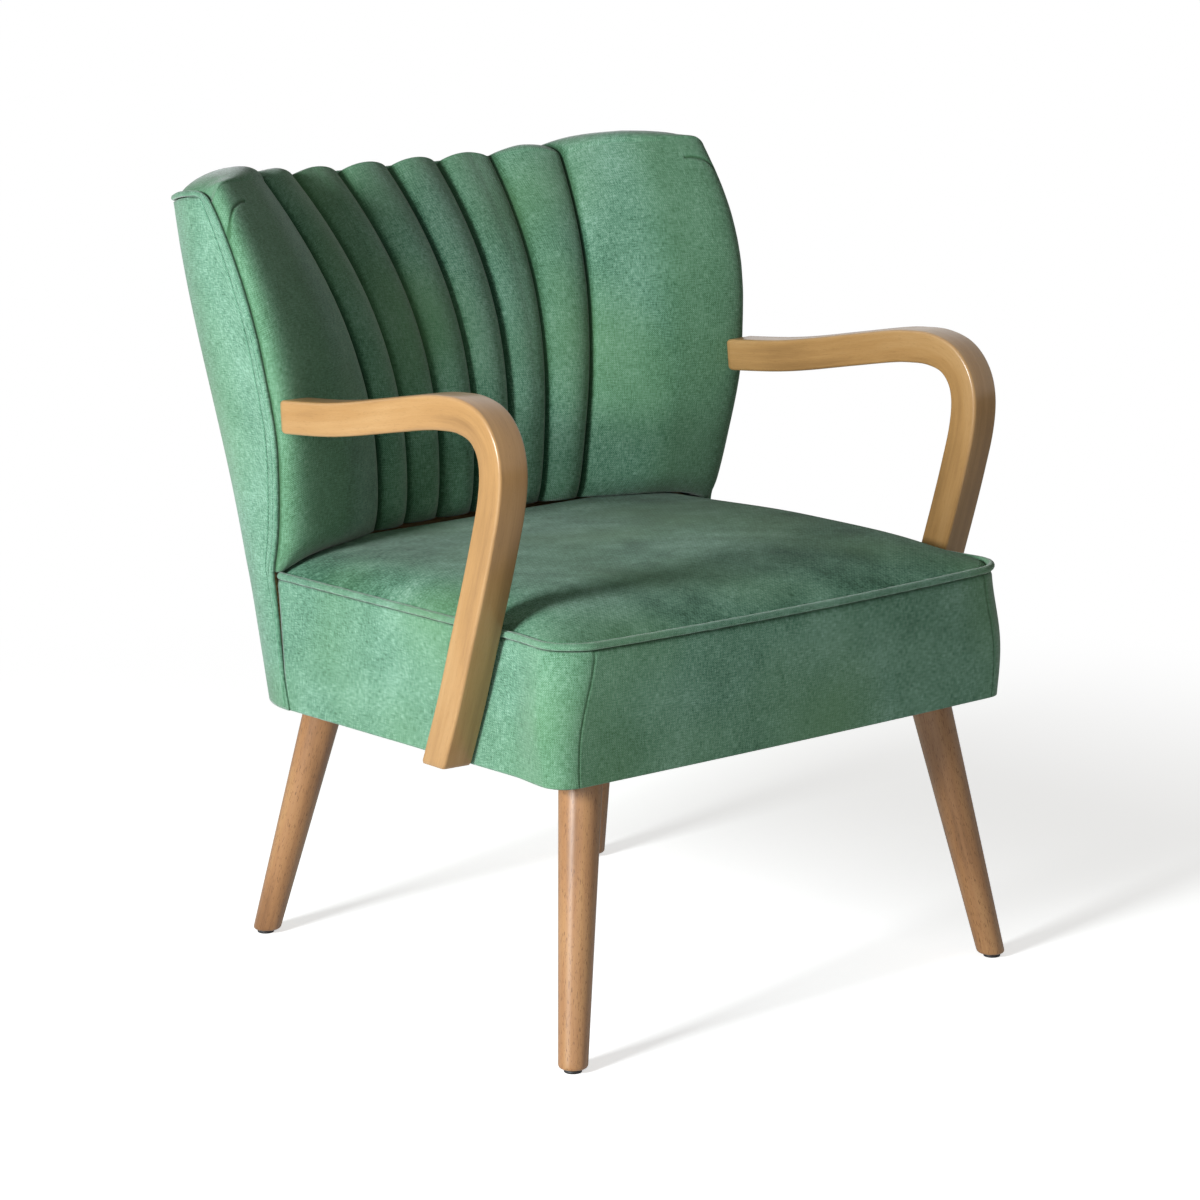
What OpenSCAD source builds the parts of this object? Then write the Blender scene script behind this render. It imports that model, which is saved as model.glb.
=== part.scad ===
// Occasional chair: upholstered seat and channelled wing back on splayed wooden legs,
// with two bent wooden arms that run from the seat underside to the wings.
// Millimetres, +Z up, the front faces -Y, origin under the middle of the whole chair.
// Inside the modules y is measured from the front of the seat; place() centres it.

/* [Seat] */
// Half of the width of the seat at its underside.
seat_half_width = 301; // [295:1:302]
// Height of the underside of the seat above the floor.
seat_bottom = 282; // [274:1:290]
// Height of the piped edge of the seat above the floor.
seat_edge = 419; // [414:1:424]
// Height that the seat cushion rises above its piped edge.
seat_crown = 30; // [20:1:32]
// How far the front corners of the seat stand out beyond its sides.
corner_flare = 8; // [0:1:10]
// How far the middle of the front edge bows forward.
seat_bow = 14; // [6:1:18]
// Radius of the front corners at the piped edge, seen from above.
corner_radius = 40; // [34:1:56]
// Radius of the piping along the seat and the back.
welt_radius = 4; // [3:0.5:5]

/* [Back] */
// Height of the top edge above the floor, at its middle.
back_height = 797; // [790:1:810]
// How much higher the top edge stands at the wings.
wing_rise = 20; // [0:1:24]
// How far forward of the seams the six channels swell.
channel_depth = 15; // [8:1:18]
// How far the two wing panels swell.
wing_swell = 24; // [12:1:28]
// Thickness of the upholstered cover on the outside of the back.
cover_thickness = 3; // [2:0.5:3]
// Thickness of the moulded shell inside the back.
shell_thickness = 9; // [6:0.5:9]

/* [Arms] */
// Width of the square wooden bar of an arm.
arm_width = 35; // [30:1:36]
// Clearance between an arm and the side of the seat.
arm_clearance = 4; // [3.5:0.5:6]
// Angle by which each arm turns inward toward the back, in degrees.
arm_toe = 2.26; // [2.1:0.02:2.3]
// Angle by which each arm leans inward toward its top, in degrees.
arm_lean = 0.85; // [0.7:0.05:0.9]

/* [Legs] */
// Radius of a leg at the seat.
leg_top_radius = 21.5; // [17:0.5:22]
// Radius of a leg at the floor.
leg_foot_radius = 14.2; // [11:0.5:15]
// Height of the black glide under each leg.
glide_height = 4; // [3:0.5:6]
// Radius of the glide.
glide_radius = 9; // [7:0.5:10]
// Radius of the bolts that hold the legs and the arms.
bolt_radius = 4; // [3:0.5:5]

/* [Frame] */
// Height of the rails of the seat frame.
rail_height = 60; // [50:1:62]
// Thickness of the rails of the seat frame.
rail_thickness = 22; // [18:1:24]
// Thickness of the steel plates that the legs screw into.
plate_thickness = 3; // [2:0.5:4]
// Width of one strap of webbing.
strap_width = 50; // [40:1:55]

/* [Hidden] */

wood_tone = "#c08a52";
fabric_tone = "#5f8a66";
steel_tone = "#8f9296";
gap = 0.4; // clearance between soft pieces that meet
fit_gap = 0.3; // clearance round bolts and plates
skin = cover_thickness;
dust_thickness = 1.2;
arm_half_span = seat_half_width + arm_clearance + arm_width;
mid_y = (rear_y(back_height) - seat_bow) / 2;
rail_bottom = seat_bottom + dust_thickness;
rail_top = rail_bottom + rail_height;
block_bottom = seat_bottom + plate_thickness + 0.2;
rail_y = 9; // front face of the front rail
rail_x = seat_half_width - 13; // outer face of the side rails
plate_size = 42;
strap_thickness = 2;
foam_bottom = rail_top + 2 * strap_thickness + 0.2;
foam_rear = 486;
front_leg_at = [seat_half_width - 61.5, 48.5]; // where a front leg meets the seat
front_foot_at = [seat_half_width - 9, 0];
rear_leg_at = [seat_half_width - 110.5, 509];
rear_foot_at = [seat_half_width - 69, 575];
shell_gap = 2; // between the outside cover and the shell
shell_in = skin + shell_gap;
shell_back = shell_in + shell_thickness;
shell_top = back_height - 45;
rear_corner = [edge_x(block_bottom) - rear_radius(block_bottom), rear_y(block_bottom) - rear_radius(block_bottom)];
block_rear = rear_y(block_bottom) - shell_back - 1;
arm_bolt_spots = [[141, 327], [151, 299]]; // y and z of the two bolts at the foot of an arm
arm_rear_y = 416.4;
arm_end_spot = [arm_rear_y, 592];

function ramp(t) = let (c = max(0, min(1, t))) c * c * (3 - 2 * c);
function above(a, b) = max(0, a - b);

// Lines of the back at height z, from the seat front.
function rear_y(z) = 541 + 0.13 * (z - 300) + 0.0002 * pow(z - 300, 2) - 4 * pow(above(480, z) / 180, 1.5);
function rear_radius(z) = 88 + 42 * pow(abs(z - 430) / 370, 1.3);
function edge_x(z) = seat_half_width + 2 + 37 * ramp((z - 380) / 390);
function edge_y(z) = z > 600 ? 423 + 75 * pow((z - 600) / 205, 2.2)
    : z > 425 ? 423 + 34 * pow((600 - z) / 175, 2) : 457 - 20 * (425 - z) / 150;
function seam_x(z) = 141 + 66 * pow(above(z, 440) / 365, 1.8);
function valley_mid(z) = z > 500 ? 503 + 148 * pow((z - 500) / 300, 2.4)
    : 503 + 8 * pow((500 - z) / 65, 2);
function top_z(x) = back_height + wing_rise * pow(abs(x) / 340, 5);
function valley_y(x, z) = let (flat = 0.53 * seam_x(z), reach = edge_x(z) - flat)
    valley_mid(z) - (valley_mid(z) - edge_y(z)) * pow(above(abs(x), flat) / reach, 1.15);
function lean(z) = atan((valley_mid(z + 5) - valley_mid(z - 5)) / 10);

// Point on the outside of the back: s runs from 0 at the middle of the rear to 1
// at the piped front edge of the side; inset moves it inward.
function outer(s, z, inset, front) = let (r = rear_radius(z), x = edge_x(z) - r, y = rear_y(z) - r)
    s < 0.4 ? [x * s / 0.4, rear_y(z) - inset, z]
    : s < 0.8 ? let (a = 90 * (0.8 - s) / 0.4) [x + (r - inset) * cos(a), y + (r - inset) * sin(a), z]
    : let (end = max(0.2, y - edge_y(z) - front)) [edge_x(z) - inset, y - end * (s - 0.8) / 0.2, z];
function both(s, z, inset, front) = let (p = outer(abs(s), z, inset, front)) [s < 0 ? -p.x : p.x, p.y, p.z];

module place() {
    translate([0, -mid_y, 0]) children();
}

module side(right) {
    if (right) children();
    else mirror([1, 0, 0]) children();
}

// Closed body between two grids of points with the same rows and columns.
module slab(a, b) {
    rows = len(a);
    cols = len(a[0]);
    count = rows * cols;
    function at(i, j) = i * cols + j;
    ring = concat([for (j = [0:cols - 1]) at(0, j)], [for (i = [1:rows - 1]) at(i, cols - 1)],
        [for (j = [cols - 2:-1:0]) at(rows - 1, j)], [for (i = [rows - 2:-1:1]) at(i, 0)]);
    turns = len(ring);
    faces = concat(
        [for (i = [0:rows - 2], j = [0:cols - 2]) [at(i, j), at(i + 1, j), at(i + 1, j + 1)]],
        [for (i = [0:rows - 2], j = [0:cols - 2]) [at(i, j), at(i + 1, j + 1), at(i, j + 1)]],
        [for (i = [0:rows - 2], j = [0:cols - 2]) [at(i, j) + count, at(i + 1, j + 1) + count, at(i + 1, j) + count]],
        [for (i = [0:rows - 2], j = [0:cols - 2]) [at(i, j) + count, at(i, j + 1) + count, at(i + 1, j + 1) + count]],
        [for (k = [0:turns - 1]) [ring[k], ring[(k + 1) % turns], ring[(k + 1) % turns] + count]],
        [for (k = [0:turns - 1]) [ring[k], ring[(k + 1) % turns] + count, ring[k] + count]]);
    polyhedron(points = concat([for (row = a) each row], [for (row = b) each row]), faces = faces);
}

// Closed body through a list of rings with the same number of points.
module loft(rings) {
    n = len(rings[0]);
    last = len(rings) - 1;
    polyhedron(points = [for (ring = rings) each ring],
        faces = concat([[for (j = [n - 1:-1:0]) j]], [[for (j = [0:n - 1]) last * n + j]],
            [for (i = [0:last - 1], j = [0:n - 1]) [i * n + j, i * n + (j + 1) % n, (i + 1) * n + (j + 1) % n]],
            [for (i = [0:last - 1], j = [0:n - 1]) [i * n + j, (i + 1) * n + (j + 1) % n, (i + 1) * n + j]]));
}

// Closed body through a list of rings whose ends close toward a point each.
module dome(rings, low, high) {
    n = len(rings[0]);
    last = len(rings) - 1;
    foot = n * (last + 1);
    polyhedron(points = concat([for (ring = rings) each ring], [low, high]),
        faces = concat([for (j = [0:n - 1]) [(j + 1) % n, j, foot]],
            [for (j = [0:n - 1]) [last * n + j, last * n + (j + 1) % n, foot + 1]],
            [for (i = [0:last - 1], j = [0:n - 1]) [i * n + j, i * n + (j + 1) % n, (i + 1) * n + (j + 1) % n]],
            [for (i = [0:last - 1], j = [0:n - 1]) [i * n + j, (i + 1) * n + (j + 1) % n, (i + 1) * n + j]]));
}

// Round tube along a list of points.
module tube(path, radius) {
    last = len(path) - 1;
    loft([for (i = [0:last]) let (
        way = path[min(last, i + 1)] - path[max(0, i - 1)],
        dir = way / norm(way),
        aside = cross(dir, [0, 0.31, 0.95]),
        u = aside / norm(aside),
        v = cross(dir, u))
        [for (k = [0:5]) path[i] + radius * (cos(60 * k) * u + sin(60 * k) * v)]]);
}

// Strip that follows the outside of the back between two insets and two heights.
module bow(inset_out, inset_in, z_low, z_high, s_low, s_high, rows, cols, front) {
    slab([for (i = [0:rows]) [for (j = [0:cols]) both(s_low + (s_high - s_low) * j / cols,
            z_low + (z_high - z_low) * i / rows, inset_out, front)]],
        [for (i = [0:rows]) [for (j = [0:cols]) both(s_low + (s_high - s_low) * j / cols,
            z_low + (z_high - z_low) * i / rows, inset_in, front)]]);
}

// Plan of the seat at height z, from the left rear round the front to the right rear.
function seat_half(z) = seat_half_width - 3 * ramp((z - seat_bottom) / 139);
function seat_radius(z) = 26 + (corner_radius - 26) * ramp((z - seat_bottom) / 139);
function front_bow(x, z, w) = (4 + (seat_bow - 4) * ramp((z - seat_bottom) / 139)) * (1 - pow(x / w, 2));
function flare(z) = corner_flare * (0.45 + 0.55 * sin(180 * ramp((z - seat_bottom + 20) / 159)));
function seat_plan(z, inset, end_y) = let (w = seat_half(z), r = seat_radius(z), c = r - inset,
    plan = seat_line(z, inset, end_y, w, r, c))
    [for (p = plan) [p.x + sign(p.x) * flare(z) * ramp((80 - p.y) / 60) * ramp(abs(p.x) / w), p.y, z]];
function seat_line(z, inset, end_y, w, r, c) =
    concat([[-w + inset, end_y, z]], [[-w + inset, (end_y + r) / 2, z]],
        [for (k = [0:8]) let (x = -w + r - c * cos(11.25 * k)) [x, r - c * sin(11.25 * k) - front_bow(x, z, w) * sin(11.25 * k), z]],
        [for (k = [1:11]) let (x = (-w + r) * (1 - k / 6)) [x, inset - front_bow(x, z, w), z]],
        [for (k = [8:-1:0]) let (x = w - r + c * cos(11.25 * k)) [x, r - c * sin(11.25 * k) - front_bow(x, z, w) * sin(11.25 * k), z]],
        [[w - inset, (end_y + r) / 2, z]], [[w - inset, end_y, z]]);

// Closed plan of the seat for the foam and the cover, with round rear corners.
function pad_plan(z, inset, rear) = let (w = seat_half(z) - inset, r = 54)
    concat(seat_plan(z, inset, rear - r),
        [for (k = [1:5]) [w - r + r * cos(18 * k), rear - r + r * sin(18 * k), z]],
        [for (k = [5:-1:1]) [-w + r - r * cos(18 * k), rear - r + r * sin(18 * k), z]]);

// A leg: a cone on a leaning axis, cut level under the seat and above the glide.
leg_edge = 2.5; // rounding of its lower edge
leg_sides = 24;
function leg_ring(foot, top, z, radius) = let (t = z / seat_bottom)
    [for (k = [0:leg_sides - 1]) [foot[0] + (top[0] - foot[0]) * t + radius * cos(360 * k / leg_sides),
    foot[1] + (top[1] - foot[1]) * t + radius * sin(360 * k / leg_sides), z]];

module leg(foot, top) {
    difference() {
        loft([leg_ring(foot, top, glide_height, leg_foot_radius - leg_edge),
            leg_ring(foot, top, glide_height + leg_edge, leg_foot_radius),
            leg_ring(foot, top, seat_bottom, leg_top_radius)]);
        leg_bolt(top, fit_gap);
    }
}

module leg_bolt(top, extra) {
    translate([top[0], top[1], seat_bottom - 34 - extra])
        cylinder(h = 68 + 2 * extra, r = bolt_radius + extra, $fn = 32);
}

module glide(foot) {
    translate([foot[0], foot[1], 0]) cylinder(h = glide_height, r = glide_radius, $fn = 32);
}

module plate(top) {
    difference() {
        translate([top[0] - plate_size / 2, top[1] - plate_size / 2, seat_bottom])
            cube([plate_size, plate_size, plate_thickness]);
        leg_bolt(top, fit_gap);
    }
}

module plate_pocket(top) {
    size = plate_size + 2 * fit_gap;
    translate([top[0] - size / 2, top[1] - size / 2, seat_bottom - 5]) cube([size, size, block_bottom - seat_bottom + 5]);
}

module both_sides() {
    children();
    mirror([1, 0, 0]) children();
}

// Bolts through the foot of an arm into the side rail.
module arm_bolt_set(extra) {
    for (spot = arm_bolt_spots)
        translate([rail_x - rail_thickness + 2, spot[0], spot[1] - 0])
            rotate([0, 90, 0]) cylinder(h = 42, r = bolt_radius - 1 + extra, $fn = 24);
}

// Side view of an arm: the middle line and half of the width, from the seat to the wing.
arm_line = [[159, 277], [134, 345], [113, 411], [95, 468], [82, 512], [71.5, 553], [69, 585], [76, 609],
    [93, 626], [119, 633], [147, 632.5], [176, 629], [238, 617.5], [302, 605.5], [351, 598.5], [arm_rear_y, 592.5]];
function spline(p, t) = let (n = len(p) - 1, i = min(n - 1, floor(t)), u = t - i,
    a = p[max(0, i - 1)], b = p[i], c = p[i + 1], d = p[min(n, i + 2)])
    0.5 * (2 * b + (c - a) * u + (2 * a - 5 * b + 4 * c - d) * u * u + (3 * b - a - 3 * c + d) * u * u * u);
arm_steps = 30;
arm_edge = 3;
arm_half = 17.2;
// Section of an arm with rounded edges: across the width and along the side view.
arm_section = [for (q = [0:3], k = [0:1]) let (a = 90 * q + 22.5 + 45 * k)
    [(q == 0 || q == 3 ? 1 : -1) * (arm_width / 2 - arm_edge) + arm_edge * cos(a),
    (q < 2 ? 1 : -1) * (arm_half - arm_edge) + arm_edge * sin(a)]];
function arm_ring(t) = let (
    last = len(arm_line) - 1, at = spline(arm_line, t),
    way = spline(arm_line, min(last, t + 0.05)) - spline(arm_line, max(0, t - 0.05)),
    dir = way / norm(way))
    [for (p = arm_section) [p[0], at[0] + dir[1] * p[1], at[1] - dir[0] * p[1]]];

module arm() {
    difference() {
        translate([arm_half_span, 0, 550]) rotate([0, 0, arm_toe]) rotate([0, -arm_lean, 0])
            translate([-arm_width / 2, 0, -550]) intersection() {
                loft([for (i = [0:arm_steps]) arm_ring((len(arm_line) - 1) * i / arm_steps)]);
                translate([-50, 0, seat_bottom + 0.6]) cube([100, 900, 600]);
            }
        arm_bolt_set(fit_gap);
        arm_end_bolt(fit_gap);
    }
}

// Bolt from the rear end of an arm through the wing into the shell side.
module arm_end_bolt(extra) {
    translate([edge_x(592) - 18.5, arm_rear_y - 40, arm_end_spot[1]]) rotate([-90, 0, 0])
        cylinder(h = 100, r = bolt_radius - 1 + extra, $fn = 24);
}

module front_rail() {
    color(wood_tone) place() difference() {
        translate([-rail_x, rail_y, rail_bottom]) cube([2 * rail_x, rail_thickness, rail_height]);
        both_sides() plate_pocket(front_leg_at);
        both_sides() translate([rail_x, rail_y, rail_bottom - 1]) rotate([0, 0, 45])
            cube([16, 16, 3 * rail_height], center = true);
    }
}

module rear_rail() {
    color(wood_tone) place() translate([-rear_leg_at[0] + 40, block_rear - rail_thickness, rail_bottom])
        cube([2 * rear_leg_at[0] - 80, rail_thickness, rail_height]);
}

module side_rail(right) {
    color(wood_tone) place() side(right) difference() {
        translate([rail_x - rail_thickness, rail_y + rail_thickness, rail_bottom])
            cube([rail_thickness, 432, rail_height]);
        plate_pocket(front_leg_at);
        arm_bolt_set(fit_gap);
    }
}

module front_block(right) {
    color(wood_tone) place() side(right) difference() {
        translate([front_leg_at[0] - 41.5, rail_y + rail_thickness, block_bottom])
            cube([rail_x - rail_thickness - front_leg_at[0] + 41.5, 66, rail_top - block_bottom]);
        leg_bolt(front_leg_at, fit_gap);
    }
}

module rear_block(right) {
    color(wood_tone) place() side(right) difference() {
        union() {
            translate([rear_leg_at[0] - 40, 440, block_bottom])
                cube([rear_corner[0] + 41 - rear_leg_at[0], block_rear - 440, rail_top - block_bottom]);
            intersection() {
                translate([rear_corner[0], rear_corner[1], block_bottom])
                    cylinder(h = rail_top - block_bottom, r = rear_radius(block_bottom) - shell_back - 1.5, $fn = 64);
                translate([rear_corner[0], 440, block_bottom])
                    cube([rail_x - rail_thickness - rear_corner[0], 90, rail_top - block_bottom]);
            }
        }
        leg_bolt(rear_leg_at, fit_gap);
    }
}

module seat_webbing() {
    color("#3b3a37") place() union() {
        for (y = [70, 150, 230, 310, 390])
            translate([-rail_x + 4, y, rail_top]) cube([2 * rail_x - 8, strap_width, strap_thickness]);
        for (x = [-0.66, -0.33, 0, 0.33, 0.66] * rail_x)
            translate([x - strap_width / 2, rail_y + 4, rail_top + strap_thickness - 0.4])
                cube([strap_width, (abs(x) > 0.4 * rail_x ? 440 : block_rear - 20), strap_thickness]);
    }
}

module seat_foam() {
    top = seat_edge - 9;
    color("#e8dfc4") place() loft([pad_plan(foam_bottom, skin + gap + 0.4, foam_rear),
        pad_plan((foam_bottom + top) / 2, skin + gap + 0.4, foam_rear),
        pad_plan(top, skin + gap + 0.4, foam_rear)]);
}

// Height of the seat's top at a place: it rises from the piping and stays high at the rear.
crown_y = 250;
function seat_top_z(x, y) = let (u = min(1, abs(x) / (seat_half_width - 12)), v = min(1, above(crown_y, y) / crown_y))
    seat_edge - 2 + (seat_crown + 2) * (1 - pow(u, 6)) * (1 - pow(v, 3.2)) * (1 - 0.3 * ramp((y - crown_y) / 240));

// Crowned top panel of the seat: rings that shrink toward the middle.
module seat_cover() {
    low = seat_edge - 9 + gap;
    edge_in = 1 + 2 * welt_radius + gap;
    rings = 8;
    color(fabric_tone) place() dome(concat([pad_plan(low, edge_in, foam_rear + 6)],
        [for (k = [0:rings]) let (f = cos(77 * k / rings))
            [for (p = pad_plan(seat_edge, edge_in, foam_rear + 6)) let (x = p.x * f, y = crown_y + (p.y - crown_y) * f)
                [x, y, seat_top_z(x, y)]]]),
        [0, crown_y, low], [0, crown_y, seat_edge + seat_crown]);
}

function boxing_rows() = [for (i = [0:3]) seat_bottom + (seat_edge - welt_radius - gap - seat_bottom) * i / 3];

module seat_boxing() {
    color(fabric_tone) place() difference() {
        slab([for (z = boxing_rows()) seat_plan(z, 0, edge_y(z) - welt_radius - gap)],
            [for (z = boxing_rows()) seat_plan(z, skin, edge_y(z) - welt_radius - gap)]);
        both_sides() arm_bolt_set(fit_gap);
    }
}

module seat_welt() {
    color(fabric_tone) place() tube(seat_plan(seat_edge, 2, edge_y(seat_edge) - 2 * welt_radius - gap), welt_radius);
}

module dust_cover() {
    in = skin + gap;
    plan = concat(seat_plan(seat_bottom, in, edge_y(seat_bottom) - 8),
        [for (k = [8:-1:-8]) both(k / 10, seat_bottom, in, 0)]);
    color("#2b2b2b") place() difference() {
        translate([0, 0, seat_bottom]) linear_extrude(dust_thickness) polygon([for (p = plan) [p.x, p.y]]);
        both_sides() plate_pocket(front_leg_at);
        both_sides() plate_pocket(rear_leg_at);
    }
}

module back_shell() {
    color(wood_tone) place() bow(shell_in, shell_back, block_bottom + 1, shell_top, -0.96, 0.96, 5, 24, 34);
}

module back_post(right) {
    color(wood_tone) place() side(right)
        bow(shell_back, shell_back + 24, rail_top, shell_top - 7, 0.5, 0.64, 7, 2, 0);
}

module back_top_rail() {
    color(wood_tone) place() bow(shell_back, shell_back + 18, shell_top - 62, shell_top - 22, -0.5, 0.5, 1, 14, 0);
}

module back_waist_rail() {
    color(wood_tone) place() bow(shell_back, shell_back + 20, seat_edge - 49, seat_edge + 1, -0.5, 0.5, 1, 14, 0);
}

// Front of the padding at distance x from the middle and height z.
function swell(x, z) = let (a = seam_x(z), t = (abs(x) - a) / (edge_x(z) - 8 - a))
    t <= 0 ? channel_depth * pow(abs(sin(540 * x / a)), 0.7)
    : wing_swell * pow(max(0, 4 * t * (1 - t)), 0.4) * (1 - 0.15 * t);
function front_point(x, z) = let (b = swell(x, z), a = lean(z) * ramp((z - 560) / 200))
    [x, valley_y(x, z) - b * cos(a), z + b * sin(a)];

// Rear of the padding: a plain slope low down, and the outside cover near the top.
function pad_rear(z) = min(valley_mid(z) + 22, rear_y(z) - skin - 0.6);
function rear_point(s, x, t, z, top) = let (
    far = both(s, z, z > top - 8 ? 2 + welt_radius + gap : skin + gap, welt_radius + gap),
    near = [x, pad_rear(z) * (1 - pow(t, 1.2)) + min(pad_rear(z), edge_y(z) + 27) * pow(t, 1.2), z])
    near + (far - near) * ramp((z - shell_top) / 16);
function pad_bottom(x) = max(seat_edge + welt_radius, seat_top_z(x, valley_y(x, 440) - wing_swell)) + 0.6;
roll_rows = 3; // rows of the roll over the top edge

// Place of the seam beside the channels on the line of the outside cover.
function seam_s(z, aside) = min(0.4, 0.4 * (seam_x(z) + aside) / (edge_x(z) - rear_radius(z)));

// Pad between two lines of the front: a grid of front points that rolls over the top.
module pad(rows, cols, wing) {
    function along(j) = let (t = j / cols) wing ? t : 2 * t - 1;
    function s_at(j, z) = let (s = seam_s(z, wing ? gap / 2 : -gap / 2)) wing ? s + (0.985 - s) * j / cols : s * along(j);
    function x_at(j, z, room) = wing ? seam_x(z) + gap / 2 + (edge_x(z) - room - seam_x(z) - gap / 2) * j / cols
        : along(j) * (seam_x(z) - gap / 2);
    function top_at(j) = top_z(wing ? 207 + 130 * j / cols : 207 * along(j)) - 1;
    function low_at(j) = pad_bottom(wing ? 141 + 152 * j / cols : 141 * along(j));
    function face(i, j) = let (z = low_at(j) + (top_at(j) - low_at(j)) * i / rows)
        front_point(x_at(j, z, 2 + 2 * welt_radius), z);
    function back(i, j) = let (z = low_at(j) + (top_at(j) - low_at(j)) * i / (rows + roll_rows))
        rear_point(s_at(j, z), x_at(j, z, skin + gap + 1), wing ? j / cols : 0, z, top_at(j));
    function roll(k, j) = let (t = k / (roll_rows + 1), a = face(rows, j), b = back(rows + roll_rows, j))
        a + (b - a) * t + [0, 0, 4 * t * (1 - t) * (wing ? min(8, 0.16 * norm(b - a)) : min(11, 0.2 * norm(b - a)))];
    slab(concat([for (i = [0:rows]) [for (j = [0:cols]) face(i, j)]],
        [for (k = [1:roll_rows]) [for (j = [0:cols]) roll(k, j)]]),
        [for (i = [0:rows + roll_rows]) [for (j = [0:cols]) back(i, j)]]);
}

module inside_back() {
    color(fabric_tone) place() pad(8, 36, false);
}

module wing_pad(right) {
    color(fabric_tone) place() side(right) difference() {
        pad(10, 12, true);
        arm_end_bolt(fit_gap);
    }
}

module outside_back() {
    rows = 9;
    cols = 34;
    function level(i, s) = seat_bottom + (top_z(300 * min(1, abs(s) / 0.6)) - welt_radius - gap - seat_bottom) * i / rows;
    color(fabric_tone) place() slab(
        [for (i = [0:rows]) [for (j = [0:cols]) let (s = 2 * j / cols - 1) both(s, level(i, s), 0, welt_radius + gap)]],
        [for (i = [0:rows]) [for (j = [0:cols]) let (s = 2 * j / cols - 1) both(s, level(i, s), skin, welt_radius + gap)]]);
}

module back_welt() {
    inset = 2;
    low = seat_bottom + 1;
    high = back_height + wing_rise - 10;
    rise = [for (i = [0:18]) let (z = low + (high - low) * i / 18) [edge_x(z) - inset, edge_y(z), z]];
    over = [for (s = [0.93, 0.86, 0.8, 0.74, 0.68, 0.62, 0.56, 0.5, 0.44, 0.4, 0.3, 0.2, 0.1, 0])
        outer(s, top_z(300 * min(1, s / 0.6)), inset, 0)];
    half = concat(rise, over);
    color(fabric_tone) place() tube(concat(half, [for (i = [len(half) - 2:-1:0]) [-half[i].x, half[i].y, half[i].z]]), welt_radius);
}

color(wood_tone) place() side(false) leg(front_foot_at, front_leg_at);  // front_leg_left
color(wood_tone) place() side(true) leg(front_foot_at, front_leg_at);  // front_leg_right
color(wood_tone) place() side(false) leg(rear_foot_at, rear_leg_at);  // rear_leg_left
color(wood_tone) place() side(true) leg(rear_foot_at, rear_leg_at);  // rear_leg_right
color("#1b1b1b") place() side(false) glide(front_foot_at);  // front_glide_left
color("#1b1b1b") place() side(true) glide(front_foot_at);  // front_glide_right
color("#1b1b1b") place() side(false) glide(rear_foot_at);  // rear_glide_left
color("#1b1b1b") place() side(true) glide(rear_foot_at);  // rear_glide_right
color(steel_tone) place() side(false) plate(front_leg_at);  // front_plate_left
color(steel_tone) place() side(true) plate(front_leg_at);  // front_plate_right
color(steel_tone) place() side(false) plate(rear_leg_at);  // rear_plate_left
color(steel_tone) place() side(true) plate(rear_leg_at);  // rear_plate_right
color(steel_tone) place() side(false) leg_bolt(front_leg_at, 0);  // front_bolt_left
color(steel_tone) place() side(true) leg_bolt(front_leg_at, 0);  // front_bolt_right
color(steel_tone) place() side(false) leg_bolt(rear_leg_at, 0);  // rear_bolt_left
color(steel_tone) place() side(true) leg_bolt(rear_leg_at, 0);  // rear_bolt_right
front_rail();
rear_rail();
side_rail(false);  // side_rail_left
side_rail(true);  // side_rail_right
front_block(false);  // front_block_left
front_block(true);  // front_block_right
rear_block(false);  // rear_block_left
rear_block(true);  // rear_block_right
seat_webbing();
seat_foam();
seat_cover();
seat_boxing();
seat_welt();
dust_cover();
back_shell();
back_post(false);  // back_post_left
back_post(true);  // back_post_right
back_top_rail();
back_waist_rail();
inside_back();
wing_pad(false);  // wing_pad_left
wing_pad(true);  // wing_pad_right
outside_back();
back_welt();
color(wood_tone) place() side(false) arm();  // arm_left
color(wood_tone) place() side(true) arm();  // arm_right
color(steel_tone) place() side(false) arm_bolt_set(0);  // arm_bolts_left
color(steel_tone) place() side(true) arm_bolt_set(0);  // arm_bolts_right
color(steel_tone) place() side(false) arm_end_bolt(0);  // arm_end_bolt_left
color(steel_tone) place() side(true) arm_end_bolt(0);  // arm_end_bolt_right
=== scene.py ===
"""Occasional chair with a channelled wing back, a piped seat, bent wooden arms and splayed legs.

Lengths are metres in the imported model's frame: +Z up, the front of the seat faces -Y. The shape
functions measure y from the front of the seat, and placed() carries their points to the frame.
"""

import bpy
import numpy as np
from bpy.props import FloatProperty, FloatVectorProperty, PointerProperty
from mathutils import Matrix, Vector


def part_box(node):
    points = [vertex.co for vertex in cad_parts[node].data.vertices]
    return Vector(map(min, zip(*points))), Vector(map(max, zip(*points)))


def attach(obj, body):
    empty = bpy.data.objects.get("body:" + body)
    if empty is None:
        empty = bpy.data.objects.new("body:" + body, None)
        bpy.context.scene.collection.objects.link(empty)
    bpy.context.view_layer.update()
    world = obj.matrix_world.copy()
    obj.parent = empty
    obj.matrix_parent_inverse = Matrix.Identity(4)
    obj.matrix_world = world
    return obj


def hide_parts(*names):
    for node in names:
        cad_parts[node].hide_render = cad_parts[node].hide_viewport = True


bl_info = {
    "name": "Channel Back Chair",
    "version": (1, 0, 0),
    "blender": (4, 5, 0),
    "location": "View3D > Sidebar > Chair",
    "description": "Builds the upholstery, woodwork and studio of an occasional chair",
    "category": "Add Mesh",
}

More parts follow.
